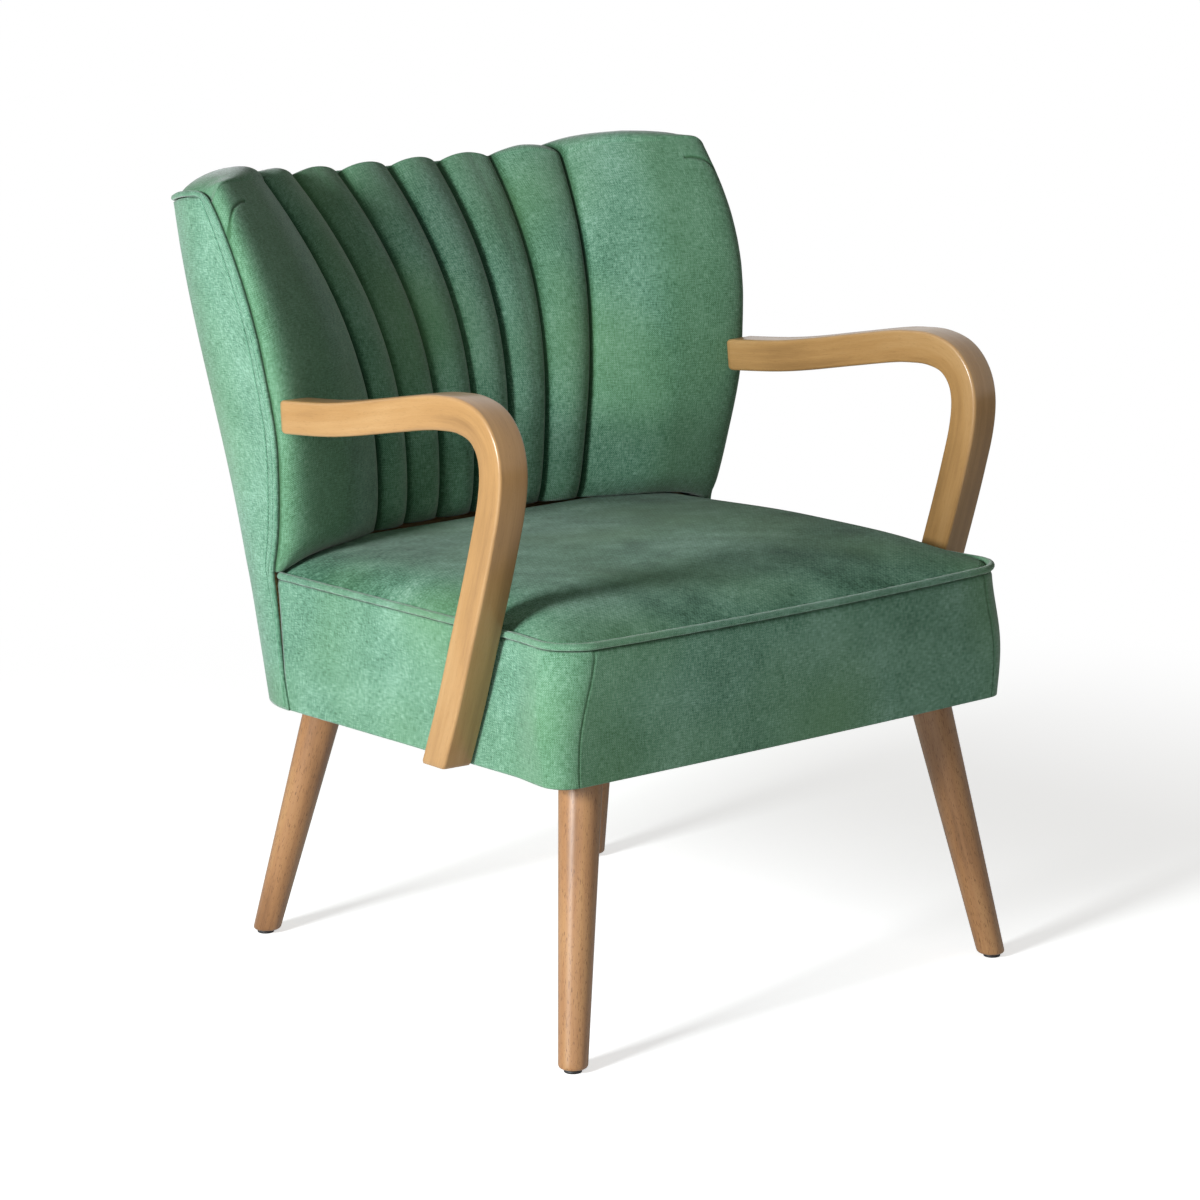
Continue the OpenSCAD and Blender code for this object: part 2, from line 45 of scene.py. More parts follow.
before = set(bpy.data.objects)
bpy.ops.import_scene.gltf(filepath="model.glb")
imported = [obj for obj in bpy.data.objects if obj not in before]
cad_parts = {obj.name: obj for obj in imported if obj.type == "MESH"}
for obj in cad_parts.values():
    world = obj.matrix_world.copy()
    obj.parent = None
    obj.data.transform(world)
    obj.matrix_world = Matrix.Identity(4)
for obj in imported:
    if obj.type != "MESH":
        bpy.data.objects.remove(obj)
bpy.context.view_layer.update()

BODY = "root"
SIDES = (("left", -1), ("right", 1))
CORNERS = ((-1, -1), (1, -1), (1, 1), (-1, 1))
MM = 0.001
RAIL_SETBACK = 0.009  # the front rail's face behind the front of the seat
SIDE_SETBACK = 0.013  # the side rails' faces inside the sides of the seat
SEAT_FRONT = float(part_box("front_rail")[0][1]) - RAIL_SETBACK
SEAT_BOTTOM = float(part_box("front_leg_left")[1][2])
SEAT_HALF = float(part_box("side_rail_right")[1][0]) + SIDE_SETBACK
SKIN = 0.003  # thickness of a cover panel
SEAM_LOW, SEAM_TOP = 0.141, 0.207  # outermost channel seam from the middle, at the seat and at the top


def linear(hex_code):
    """Linear colour of an sRGB hex: v / 12.92 where it is dark, else ((v + 0.055) / 1.055) ** 2.4."""
    v = np.array([int(hex_code[i:i + 2], 16) for i in (1, 3, 5)]) / 255
    return tuple(float(c) for c in np.where(v < 0.04045, v / 12.92, ((v + 0.055) / 1.055) ** 2.4))


def colour(name, description, hex_code):
    return FloatVectorProperty(name=name, description=description, subtype="COLOR", size=3, min=0, max=1,
                               default=linear(hex_code))


def length(name, description, default, low, high):
    return FloatProperty(name=name, description=description, subtype="DISTANCE", unit="LENGTH",
                         default=default, min=low, max=high, precision=4)


class ChairSizes(bpy.types.PropertyGroup):
    """Sizes of the soft shapes and the edges."""
    channel_swell: length("Channel swell", "How far a channel rises over its seams", 0.0165, 0.005, 0.022)
    wing_swell: length("Wing swell", "How far a wing panel rises over its seams", 0.030, 0.01, 0.034)
    seat_swell: length("Seat crown", "How far the seat rises above its piping", 0.030, 0.01, 0.034)
    piping_radius: length("Seat piping radius", "Radius of the cord round the seat", 0.0039, 0.002, 0.0042)
    back_piping_radius: length("Back piping radius", "Radius of the cord round the back",
                               0.0030, 0.002, 0.004)
    arm_edge: length("Arm edge", "Rounding of the long edges of an arm", 0.0032, 0.001, 0.01)


class ChairColours(bpy.types.PropertyGroup):
    """Colours of the cloth, the wood and the small parts."""
    cloth: colour("Cloth", "Chenille where the pile stands up", "#628e75")
    cloth_light: colour("Cloth light", "Chenille where the pile lies over", "#94b7a4")
    cloth_deep: colour("Cloth deep", "Chenille between the threads", "#2c533e")
    cloth_warm: colour("Cloth warm", "Chenille where the pile catches a yellower light", "#5a8455")
    arm: colour("Arm", "Main colour of the arms", "#a57d4c")
    arm_light: colour("Arm light", "Pale areas of the arms", "#b79262")
    arm_dark: colour("Arm dark", "Dark streaks and pores of the arms", "#836038")
    leg: colour("Leg", "Main colour of the legs", "#9c6f45")
    leg_light: colour("Leg light", "Pale streaks of the legs", "#b08657")
    leg_dark: colour("Leg dark", "Dark streaks and pores of the legs", "#65401f")
    floor: colour("Floor", "Floor and backdrop", "#f4f4f3")


def stacked(*parts):
    """Points from their coordinates, which are spread to one shape first."""
    return np.stack(np.broadcast_arrays(*parts), -1)


# Lines of the chair

def unit(t):
    """The value held between 0 and 1."""
    return np.clip(t, 0, 1)


def ramp(t):
    """Smooth step from 0 to 1: 3 t squared less 2 t cubed."""
    c = unit(t)
    return c * c * (3 - 2 * c)


def rear_y(z):
    """Rear of the back: a line with a slight backward curve."""
    return 0.541 + 0.13 * (z - 0.3) + 0.2 * (z - 0.3) ** 2 - 0.004 * (np.maximum(0, 0.48 - z) / 0.18) ** 1.5


def rear_radius(z):
    """Radius of the rear corners seen from above, least near the seat."""
    return 0.088 + 0.042 * (np.abs(z - 0.43) / 0.37) ** 1.3


def edge_x(z):
    """Half of the width at the piped edge of the wings."""
    return SEAT_HALF + 0.002 + 0.037 * ramp((z - 0.38) / 0.39)


def edge_y(z):
    """Front of the piped edge: most forward at the height of the arms."""
    high = 0.423 + 0.075 * (np.maximum(z - 0.6, 0) / 0.205) ** 2.2
    middle = 0.423 + 0.034 * (np.clip(0.6 - z, 0, 0.175) / 0.175) ** 2
    line = np.where(z > 0.6, high, np.where(z > 0.425, middle, 0.457 - 0.02 * (0.425 - z) / 0.15))
    return line + 0.003 * ramp((z - 0.44) / 0.08) + 0.005 * ramp((z - 0.56) / 0.08)


def seam_x(z):
    """Distance of the outermost channel seam from the middle: the channels fan out upward."""
    return SEAM_LOW + 0.066 * (np.maximum(z - 0.44, 0) / 0.365) ** 1.8


def valley_mid(z):
    """The middle seam: upright near the seat, then leaning back by a power curve."""
    return np.where(z > 0.5, 0.503 + 0.148 * (np.maximum(z - 0.5, 0) / 0.3) ** 2.4,
                    0.503 + 0.008 * (np.maximum(0.5 - z, 0) / 0.065) ** 2)


def top_z(x):
    """Height of the piped top edge, a little higher at the wings."""
    return 0.797 + 0.020 * (np.abs(x) / 0.34) ** 5


def cover_top(s):
    """Height of the cover's piped top edge at s on the outside's line. It dips at the rear corners,
    where the wings puff up above it, and rounds off at the front of the sides."""
    a = np.abs(s)
    dip = (0.0134 * np.exp(-((a - 0.6) / 0.12) ** 2) - 0.002 * ramp((a - 0.65) / 0.15)
           + 0.007 * ramp((a - 0.9) / 0.1))
    return top_z(0.3 * np.minimum(1, a / 0.6)) - dip


def valley_y(x, z):
    """Seam depth at a distance x: level over the inner channels, then forward to the wing edge."""
    flat = 0.53 * seam_x(z)
    share = np.maximum(np.abs(x) - flat, 0) / (edge_x(z) - flat)
    return valley_mid(z) - (valley_mid(z) - edge_y(z)) * share ** 1.15


def lean(z):
    """Backward lean of the middle seam."""
    return np.arctan((valley_mid(z + 0.005) - valley_mid(z - 0.005)) / 0.01)


def outside(s, z, inset, front=0.0):
    """Point of the outside: s is 0 at the middle of the rear, 0.4 where the corner's arc starts,
    0.8 where it ends and 1 at the piped edge; a negative s is on the left."""
    r, a = rear_radius(z), np.abs(s)
    x_mid, y_mid = edge_x(z) - r, rear_y(z) - r
    angle = np.radians(90) * (0.8 - np.clip(a, 0.4, 0.8)) / 0.4
    side = np.maximum(0.0002, y_mid - edge_y(z) - front) * unit(a - 0.8) / 0.2
    x = np.where(a < 0.4, x_mid * a / 0.4, x_mid + (r - inset) * np.cos(angle))
    y = np.where(a < 0.4, rear_y(z) - inset, y_mid + (r - inset) * np.sin(angle) - side)
    return stacked(np.where(s < 0, -x, x), y, z)


def seat_share(z):
    """0 at the underside of the seat and 1 at its piping."""
    return ramp((z - SEAT_BOTTOM) / 0.139)


def seat_half(z):
    return SEAT_HALF - 0.003 * seat_share(z)


def seat_plan(t, z, inset, rear):
    """Plan of the seat for t from 0 at the left rear through 0.5 at the middle of the front to 1:
    straight sides, round front corners and a bowed front."""
    w, r = seat_half(z), 0.026 + 0.014 * seat_share(z)
    bow = 0.004 + 0.010 * seat_share(z)
    stand = 0.012 * (0.45 + 0.55 * np.sin(np.pi * ramp((z - SEAT_BOTTOM + 0.02) / 0.159)))
    u = np.abs(2 * t - 1)  # 0 in the middle of the front, 1 at the rear
    turn = np.radians(90) * unit((0.62 - u) / 0.12)
    corner = (u < 0.62) & (u > 0.5)
    round_x = w - r + (r - inset) * np.cos(turn)
    x = np.where(u >= 0.62, w - inset, np.where(corner, round_x, (w - r) * u / 0.5))
    y = np.where(u >= 0.62, r + (rear - r) * (u - 0.62) / 0.38,
                 np.where(corner, r - (r - inset) * np.sin(turn), inset))
    y = y - bow * (1 - (x / w) ** 2) * np.where(u < 0.5, 1, np.sin(turn))
    x = x + stand * ramp((0.08 - y) / 0.06) * ramp(x / w)
    return stacked(np.where(t < 0.5, -x, x), y, z)


# Meshes

def placed(points):
    """Carries points from the seat front's frame to the model's frame."""
    return points + np.array([0, SEAT_FRONT, 0])


def grid_quads(rows, cols, start=0, wrap=False):
    """Quads of a grid of rows by cols points; wrap joins the last column to the first."""
    i, j = np.meshgrid(np.arange(rows - 1), np.arange(cols if wrap else cols - 1), indexing="ij")
    a, b = start + i * cols + j, start + i * cols + (j + 1) % cols
    return np.stack([a, b, b + cols, a + cols], -1).reshape(-1, 4)


def fan(ring, middle, turned=False):
    """Triangles from a ring of points to its middle, as quads with a doubled corner."""
    nxt = np.roll(ring, -1)
    return stacked(nxt, ring, middle, middle) if turned else stacked(ring, nxt, middle, middle)


def tube_faces(rings, around):
    """Faces of a closed tube: quads between its rings and a fan at each end. The middles of the
    two ends are the points that follow the rings."""
    end, row = rings * around, np.arange(around)
    return np.concatenate([grid_quads(rings, around, 0, True), fan(row, end, True),
                           fan(end - around + row, end + 1)])


def outward(points, faces):
    """Turns all faces round when the closed form's signed volume is negative."""
    a, b, c, d = (points[faces[:, k]] for k in range(4))
    volume = np.sum(a * np.cross(b, c)) + np.sum(a * np.cross(c, d))
    return faces if volume > 0 else faces[:, ::-1]


def linked(name, data):
    """New object of the scene that shows the data."""
    obj = bpy.data.objects.new(name, data)
    bpy.context.scene.collection.objects.link(obj)
    return obj


def new_piece(name, points, faces, uv=None, vectors=None, values=None, closed=True):
    """Mesh object from arrays; uv is per point, and quads with a doubled corner become triangles."""
    points = placed(np.asarray(points, float).reshape(-1, 3))
    faces = outward(points, np.asarray(faces)) if closed else np.asarray(faces)
    mesh = bpy.data.meshes.new(name)
    quad = (faces[:, 2] != faces[:, 3]) & (faces[:, 0] != faces[:, 1])
    three = np.where((faces[:, 0] == faces[:, 1])[:, None], faces[:, 1:], faces[:, :3])
    loops = np.concatenate([faces[quad].ravel(), three[~quad].ravel()])
    totals = np.concatenate([np.full(quad.sum(), 4), np.full((~quad).sum(), 3)])
    starts = np.concatenate([[0], np.cumsum(totals)[:-1]])
    mesh.vertices.add(len(points))
    mesh.vertices.foreach_set("co", points.astype(np.float32).ravel())
    mesh.loops.add(len(loops))
    mesh.loops.foreach_set("vertex_index", loops.astype(np.int32))
    mesh.polygons.add(len(totals))
    mesh.polygons.foreach_set("loop_start", starts.astype(np.int32))
    mesh.polygons.foreach_set("loop_total", totals.astype(np.int32))
    mesh.polygons.foreach_set("use_smooth", np.ones(len(totals), bool))
    mesh.update(calc_edges=True)
    mesh.validate()
    if uv is not None:
        layer = mesh.uv_layers.new(name="cloth")
        index = np.empty(len(mesh.loops), np.int32)
        mesh.loops.foreach_get("vertex_index", index)
        layer.data.foreach_set("uv", np.asarray(uv, np.float32).reshape(-1, 2)[index].ravel())
    for kind, field, arrays in (("FLOAT_VECTOR", "vector", vectors), ("FLOAT", "value", values)):
        for key, array in (arrays or {}).items():
            layer = mesh.attributes.new(key, kind, "POINT")
            layer.data.foreach_set(field, np.asarray(array, np.float32).ravel())
    piece = linked(name, mesh)
    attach(piece, BODY)
    return piece


def walked(grid):
    """Cloth coordinates of a grid: distance along each row from its middle, and mean distance of
    each row from the first."""
    u = np.zeros(grid.shape[:2])
    v = np.zeros(grid.shape[:2])
    u[:, 1:] = np.cumsum(np.linalg.norm(np.diff(grid, axis=1), axis=-1), 1)
    v[1:] = np.cumsum(np.linalg.norm(np.diff(grid, axis=0), axis=-1), 0)
    u -= u[:, u.shape[1] // 2][:, None]
    return np.stack([u, v.mean(1, keepdims=True) + 0 * v], -1)


def closed_form(name, front, back, seam, brushed=None):
    """Pad between two grids of the same size, joined round their rims. The seam values, which paint shade
    into creases, go to both grids; the brushed values, which paint darker and yellower shade, go only to the
    front.
    """
    values = {"seam": np.concatenate([seam.ravel()] * 2)}
    if brushed is not None:
        values["brushed"] = np.concatenate([(brushed + 0 * seam).ravel(), 0 * seam.ravel()])
    rows, cols = front.shape[:2]
    count, low = rows * cols, np.arange(cols)
    a = np.concatenate([low, cols * np.arange(1, rows) + cols - 1, ((rows - 1) * cols + low)[::-1][1:],
                        (cols * np.arange(rows))[::-1][1:-1]])
    b = np.roll(a, -1)
    faces = np.concatenate([grid_quads(rows, cols), grid_quads(rows, cols, count)[:, ::-1],
                            stacked(b, a, a + count, b + count)])
    return new_piece(name, np.concatenate([front.reshape(-1, 3), back.reshape(-1, 3)]), faces,
                     uv=np.concatenate([walked(front).reshape(-1, 2)] * 2), values=values)


def flat_size(piece, grid_shape):
    """Sides and area of the flat panel that a closed form's front grid is cut from."""
    count = grid_shape[0] * grid_shape[1]
    grid = np.array([v.co for v in piece.data.vertices[:count]]).reshape(*grid_shape, 3)
    across = np.linalg.norm(np.diff(grid, axis=1), axis=-1).sum(1).max()
    along = np.linalg.norm(np.diff(grid, axis=0), axis=-1).sum(0).max()
    cut = np.cross(grid[1:, 1:] - grid[:-1, :-1], grid[1:, :-1] - grid[:-1, 1:])
    return (float(across), float(along)), float(np.linalg.norm(cut, axis=-1).sum() / 2)


def dish(name, plan, heights, seam, middles=None):
    """Piece between two sheets of rings that shrink toward their middles: both sheets, the rim
    between them and a fan round each middle."""
    sheets = [np.concatenate([plan, z[..., None]], -1) for z in heights]
    if middles is None:
        middles = [sheet[-1].mean(0) for sheet in sheets]
    points = np.concatenate([sheet.reshape(-1, 3) for sheet in sheets] + [middles])
    rings, around = plan.shape[:2]
    count, row = rings * around, np.arange(around)
    nxt, inner = np.roll(row, -1), count - around + row
    faces = [grid_quads(rings, around, 0, True), grid_quads(rings, around, count, True)[:, ::-1],
             stacked(nxt, row, row + count, nxt + count), fan(inner, 2 * count),
             fan(count + inner, 2 * count + 1, True)]
    return new_piece(name, points, np.concatenate(faces), uv=points[:, :2],
                     values={"seam": np.concatenate([seam, seam, [0, 0]])})


def with_middles(rings):
    """Points of a tube's rings, then the middles of its first and last ring."""
    return np.concatenate([rings.reshape(-1, 3), [rings[0].mean(0), rings[-1].mean(0)]])


def walk_along(path):
    """Distance of each point of a path from its start."""
    return np.concatenate([[0], np.cumsum(np.linalg.norm(np.diff(path, axis=0), axis=1))])


def path_frames(path):
    """Side and up of each point of a path."""
    way = np.gradient(path, axis=0)
    way /= np.linalg.norm(way, axis=1, keepdims=True)
    side = np.cross(way, [0.02, 0.31, 0.95])
    side /= np.linalg.norm(side, axis=1, keepdims=True)
    return side, np.cross(way, side)


def points_at(path, walk, at):
    """Points of a path at the given distances along it."""
    return np.stack([np.interp(at, walk, line) for line in path.T], 1)


def even_steps(path, count):
    """The same path at evenly spaced distances."""
    walk = walk_along(path)
    return points_at(path, walk, np.linspace(0, walk[-1], count))


def piping(name, path, radius, sides=14):
    """Covered cord: a tube along the path, a little fuller where the cloth gathers, with closed ends."""
    side, up = path_frames(path)
    angle = np.linspace(0, 2 * np.pi, sides, endpoint=False)
    walk = walk_along(path)
    taper = unit(np.minimum(walk, walk[-1] - walk) / radius)
    gathers = 1 + 0.03 * np.sin(walk / 0.0061) * np.sin(walk / 0.023)
    thick = (radius * np.sqrt(np.clip(1 - (1 - taper) ** 2, 0.0004, 1)) * gathers)[:, None, None]
    turn = np.cos(angle)[None, :, None] * side[:, None] + np.sin(angle)[None, :, None] * up[:, None]
    points = np.concatenate([(path[:, None] + thick * turn).reshape(-1, 3), path[:1], path[-1:]])
    uv = stacked(walk[:, None], radius * angle[None]).reshape(-1, 2)
    uv = np.concatenate([uv, [[0, 0], [walk[-1], 0]]])
    return new_piece(name, points, tube_faces(len(path), sides), uv=uv,
                     values={"seam": np.zeros(len(points))})


# Materials

def add(tree, kind, links=None, **settings):
    """Adds one node, sets its properties and inputs, and links what it reads."""
    node = tree.nodes.new(kind)
    for key, value in settings.items():
        if hasattr(node, key):
            setattr(node, key, value)
        else:
            node.inputs[key.replace("_", " ")].default_value = value
    for key, source in (links or {}).items():
        tree.links.new(source, node.inputs[key])
    return node


def shades(tree, factor, stops):
    """Colour ramp with the given places and linear colours."""
    node = add(tree, "ShaderNodeValToRGB", {"Fac": factor})
    ramp_stops = node.color_ramp.elements
    while len(ramp_stops) < len(stops):
        ramp_stops.new(0.5)
    for stop, (place, tone) in zip(ramp_stops, stops):
        stop.position = place
        stop.color = (*tone[:3], 1)
    return node.outputs["Color"]


def material(name):
    mat = bpy.data.materials.new(name)
    mat.use_nodes = True
    mat.node_tree.nodes.clear()
    return mat, mat.node_tree


def finish_material(tree, **settings):
    """Principled shader with its plain values set on its own sockets."""
    links = {k.replace("_", " "): v for k, v in settings.items() if isinstance(v, bpy.types.NodeSocket)}
    values = {k: v for k, v in settings.items() if not isinstance(v, bpy.types.NodeSocket)}
    shader = add(tree, "ShaderNodeBsdfPrincipled", links, **values)
    add(tree, "ShaderNodeOutputMaterial", {"Surface": shader.outputs[0]})


def math(tree, kind, a, b=0.0):
    """Output of one math node; a and b are sockets or numbers."""
    node = add(tree, "ShaderNodeMath", operation=kind)
    for k, value in enumerate((a, b)):
        if isinstance(value, bpy.types.NodeSocket):
            tree.links.new(value, node.inputs[k])
        else:
            node.inputs[k].default_value = value
    return node.outputs[0]


def weighted(tree, total, *pairs):
    """A number plus each socket times its weight."""
    for socket, weight in pairs:
        total = math(tree, "ADD", math(tree, "MULTIPLY", socket, weight), total)
    return total


def tinted(tree, base, share, tone):
    """One colour that turns into another, fixed one by a share."""
    mixed = add(tree, "ShaderNodeMix", {6: base, 0: share}, data_type="RGBA")
    mixed.inputs[7].default_value = (*tone, 1)
    return mixed.outputs[2]


def spread(tree, value, low, high, top=1.0, curve="LINEAR"):
    """Carries the range from low to high onto 0 to top."""
    node = add(tree, "ShaderNodeMapRange", {"Value": value}, interpolation_type=curve, From_Min=low,
               From_Max=high, To_Max=top)
    return node.outputs[0]


def bumped(tree, height, strength, distance):
    return add(tree, "ShaderNodeBump", {"Height": height}, Strength=strength, Distance=distance).outputs[0]


def object_place(tree):
    return add(tree, "ShaderNodeTexCoord").outputs["Object"]


def attribute(tree, name, output="Fac"):
    return add(tree, "ShaderNodeAttribute", attribute_name=name).outputs[output]


def mixed(tree, share, low, high):
    """One shader that gives way to another by a share."""
    return add(tree, "ShaderNodeMixShader", {0: share, 1: low, 2: high}).outputs[0]


def noise(tree, vector, grain, detail=2.0, roughness=0.5, stretch=(1, 1, 1)):
    """Noise with grains of a size in metres, stretched along an axis."""
    mapping = add(tree, "ShaderNodeMapping", {"Vector": vector}, Scale=tuple(1 / grain * s for s in stretch))
    node = add(tree, "ShaderNodeTexNoise", {"Vector": mapping.outputs[0]}, Scale=1.0, Detail=detail,
               Roughness=roughness)
    return node.outputs["Fac"]


def chenille(name, colours, nap=1.0, depth=0.0, sheen=0.34):
    """Woven chenille: slub threads about 2 mm apart cross over and under, and the short pile lies
    one way or the other in patches, so that it looks paler, deeper or more yellow."""
    mat, tree = material(name)
    cloth = add(tree, "ShaderNodeUVMap", uv_map="cloth").outputs[0]
    here, seam, brushed = object_place(tree), attribute(tree, "seam"), attribute(tree, "brushed")
    weft = noise(tree, cloth, 1.2 * MM, 2, 0.55, (0.16, 1, 1))
    warp = noise(tree, cloth, 1.2 * MM, 2, 0.55, (1, 0.16, 1))
    fluff = noise(tree, cloth, 1.5 * MM, 1, 0.5)
    parts = add(tree, "ShaderNodeSeparateXYZ", {"Vector": cloth})
    per_metre = 2 * np.pi / (2.3 * MM)
    across, along = (math(tree, "SINE", weighted(tree, 0.0, (parts.outputs[k], per_metre), (fluff, 2.4)))
                     for k in (0, 1))
    crossing = math(tree, "MULTIPLY", across, along)
    threads = weighted(tree, 0.0, (weft, 0.5), (warp, 0.5), (crossing, 0.10))
    patch = noise(tree, here, 34 * MM, 3, 0.6)
    drift = noise(tree, here, 130 * MM, 2, 0.5)
    # Painted shade: the seam attribute darkens creases, grooves and seams, the brushed attribute darkens the
    # outer part of each wing panel, and depth darkens a whole copy of the cloth.
    tone = weighted(tree, -(0.4 + 0.375 * nap + depth), (threads, 1.8), (patch, 0.35 * nap),
                    (drift, 0.4 * nap), (seam, -0.7), (brushed, -0.08))
    base = shades(tree, tone, [(0.1, colours.cloth_deep), (0.5, colours.cloth), (0.92, colours.cloth_light)])
    yellow = spread(tree, noise(tree, here, 190 * MM, 1, 0.5), 0.45, 0.75, 0.5)
    # Painted shade: the brushed attribute also turns the outer part of each wing panel toward the yellower
    # cloth_warm; the yellow noise itself is random tone.
    warm = math(tree, "MAXIMUM", yellow, math(tree, "MULTIPLY", brushed, 0.3))
    finish_material(tree, Base_Color=tinted(tree, base, warm, colours.cloth_warm),
                    Normal=bumped(tree, threads, 0.6, 0.0011), Roughness=0.92, Specular_IOR_Level=0.12,
                    Sheen_Weight=sheen, Sheen_Roughness=0.45, Sheen_Tint=(0.98, 0.9, 0.96, 1))
    return mat


def varnished_wood(name, dark, middle, pale, pores, figure):
    """Varnished wood: soft straight streaks, fine dark pores along the grain, and a thin satin
    varnish."""
    mat, tree = material(name)
    grain = attribute(tree, "grain", "Vector")
    streak = noise(tree, grain, 7 * MM, 3, 0.5, (0.04, 1, 1))
    broad = noise(tree, grain, 34 * MM, 2, 0.5, (0.2, 1, 1))
    fine = noise(tree, grain, 1.0 * MM, 2, 0.6, (0.05, 1, 1))
    fleck = noise(tree, grain, 0.8 * MM, 1, 0.5, (0.13, 1, 1))
    tone = weighted(tree, 0.05 - 0.375 * figure, (streak, 0.5 * figure), (broad, 0.9), (fine, 0.25 * figure))
    base = shades(tree, tone, [(0.15, dark), (0.5, middle), (0.85, pale)])
    holes = math(tree, "MULTIPLY", math(tree, "GREATER_THAN", fleck, 0.64), pores)
    finish_material(tree, Base_Color=tinted(tree, base, holes, dark),
                    Normal=bumped(tree, math(tree, "SUBTRACT", fine, holes), 0.15, 0.0003),
                    Roughness=weighted(tree, 0.26, (fine, 0.2)), Coat_Weight=0.4, Coat_Roughness=0.22)
    return mat


def two_tones(tree, value, hex_codes):
    """Two near tones over the middle of a noise."""
    return shades(tree, value, [(0.3, linear(hex_codes[0])), (0.7, linear(hex_codes[1]))])


def raw_wood(name, hex_codes, layer=0.0):
    """Sawn hardwood for the hidden frame; with a layer thickness it shows the plies of plywood."""
    mat, tree = material(name)
    here = object_place(tree)
    tone = streak = noise(tree, here, 5 * MM, 3, 0.6, (0.06, 1, 1))
    if layer:
        plies = add(tree, "ShaderNodeTexWave", {"Vector": here}, wave_type="BANDS", bands_direction="Y",
                    Scale=0.5 / layer, Distortion=0.4)
        tone = weighted(tree, 0.0, (streak, 0.6), (plies.outputs["Fac"], 0.4))
    finish_material(tree, Base_Color=two_tones(tree, tone, hex_codes),
                    Normal=bumped(tree, streak, 0.3, 0.0005), Roughness=0.75)
    return mat


def zinc_steel(name):
    """Zinc-plated steel: a grey metal with faint spangle and brushed roughness."""
    mat, tree = material(name)
    spangle = noise(tree, object_place(tree), 3 * MM, 2, 0.5)
    finish_material(tree, Base_Color=two_tones(tree, spangle, ("#9a9ca0", "#b9bcc0")), Metallic=1.0,
                    Roughness=weighted(tree, 0.28, (spangle, 0.2)))
    return mat


def plain_grain(name, hex_codes, grain, roughness, bump_height, sheen=0.0):
    """Moulded, felted or foamed stuff: fine grain of a given size in metres over two near tones."""
    mat, tree = material(name)
    grit = noise(tree, object_place(tree), grain, 3, 0.6)
    finish_material(tree, Base_Color=two_tones(tree, grit, hex_codes),
                    Normal=bumped(tree, grit, 0.5, bump_height), Roughness=roughness, Sheen_Weight=sheen)
    return mat


def dress(piece, mat):
    """Gives a piece its one material."""
    piece.data.materials.clear()
    piece.data.materials.append(mat)


def stuff(key, make, *args):
    """A material that is made once and then shared."""
    return bpy.data.materials.get(key) or make(key, *args)


def cloth_for(context):
    return stuff("green chenille", chenille, context.scene.chair_colours)


# Back

SHELL_TOP = 0.752
SEAT_EDGE = 0.419
CROWN_Y = 0.25
PIPING_ROOM = 0.0064  # from the outside to the inner side of the piping
DART = 0.020  # radius of the curved dart at the top corner of a wing
CREST = 0.5  # where a wing panel stands highest: 0 at the channels, 1 at the piping
WING_END = 0.985  # where a wing panel ends on the outside's line
SEAM_GAP = 0.0002  # between a pad and the seam line beside it
TOP_GAP = 0.001  # between a pad and the piped top edge
PAD_FRONT = 0.0044  # from the piped edge back to where a pad meets the outside
COVER_FRONT = 0.0060  # from the piped edge back to the cover's front ends
COVER_DOWN = 0.0044  # from the piped top edge down to the cover
COVER_GRID = (130, 260)
STITCH_AWAY = 0.0105  # from the piped edge to the stitched fold beside it


def seam_place(z, aside):
    """Where the seam beside the channels meets the outside cover's line."""
    return np.minimum(0.4, 0.4 * (seam_x(z) + aside) / (edge_x(z) - rear_radius(z)))


def rear_of_pad(s, x, t, z, top):
    """Back of a pad: a plain slope low down that moves out to the cover near the top."""
    inset = np.where(z > top - 0.008, PIPING_ROOM, SKIN + 0.0004)
    far = outside(s, z, inset, PAD_FRONT)
    slope = np.minimum(valley_mid(z) + 0.022, rear_y(z) - SKIN - 0.0006)
    ahead = np.minimum(slope, edge_y(z) + 0.019)
    near = stacked(x, slope * (1 - t ** 1.2) + ahead * t ** 1.2, z)
    return near + (far - near) * ramp((z - SHELL_TOP) / 0.016)[..., None]


def roll_over(face, rear_top, steps, height, curl):
    """Rows that carry the last row of the face over the top edge to the rear in an arc."""
    k = (0.5 - 0.5 * np.cos(np.pi * np.arange(1, steps + 1) / (steps + 1)))[:, None, None]
    last = face[-1][None]
    gap = np.linalg.norm(rear_top - face[-1], axis=-1)[None, :, None]
    rise = np.minimum(height, 0.22 * gap) * (4 * k * (1 - k)) ** curl
    return np.concatenate([face, last + (rear_top[None] - last) * k + rise * np.array([0, 0, 1.0])])


def seat_top_z(x, y, swell=0.032):
    """Height of the seat's top: it rises from the piping by power curves and stays high at the rear."""
    u = unit(np.abs(x) / (SEAT_HALF - 0.007 + 0.012 * ramp((0.08 - y) / 0.06)))
    v = unit((CROWN_Y - y) / CROWN_Y)
    return SEAT_EDGE - 0.002 + swell * (1 - u ** 11) * (1 - v ** 4.5) * (1 - 0.3 * ramp((y - CROWN_Y) / 0.24))


def pad_bottom(x):
    """Lower edge of the back's pads, just above the seat and its piping."""
    return np.maximum(SEAT_EDGE + 0.004, seat_top_z(x, valley_y(x, 0.44) - 0.024)) + 0.0006


def rising(low, top, count):
    """Rows of heights from low to top."""
    return low + (top - low) * np.linspace(0, 1, count)[:, None]


def swollen(x, z, bulge):
    """Front of a pad: the line of the seams pushed out by the bulge, square to the back's lean."""
    tilt = lean(z) * ramp((z - 0.56) / 0.2)
    return stacked(x, valley_y(x, z) - bulge * np.cos(tilt), z + bulge * np.sin(tilt))


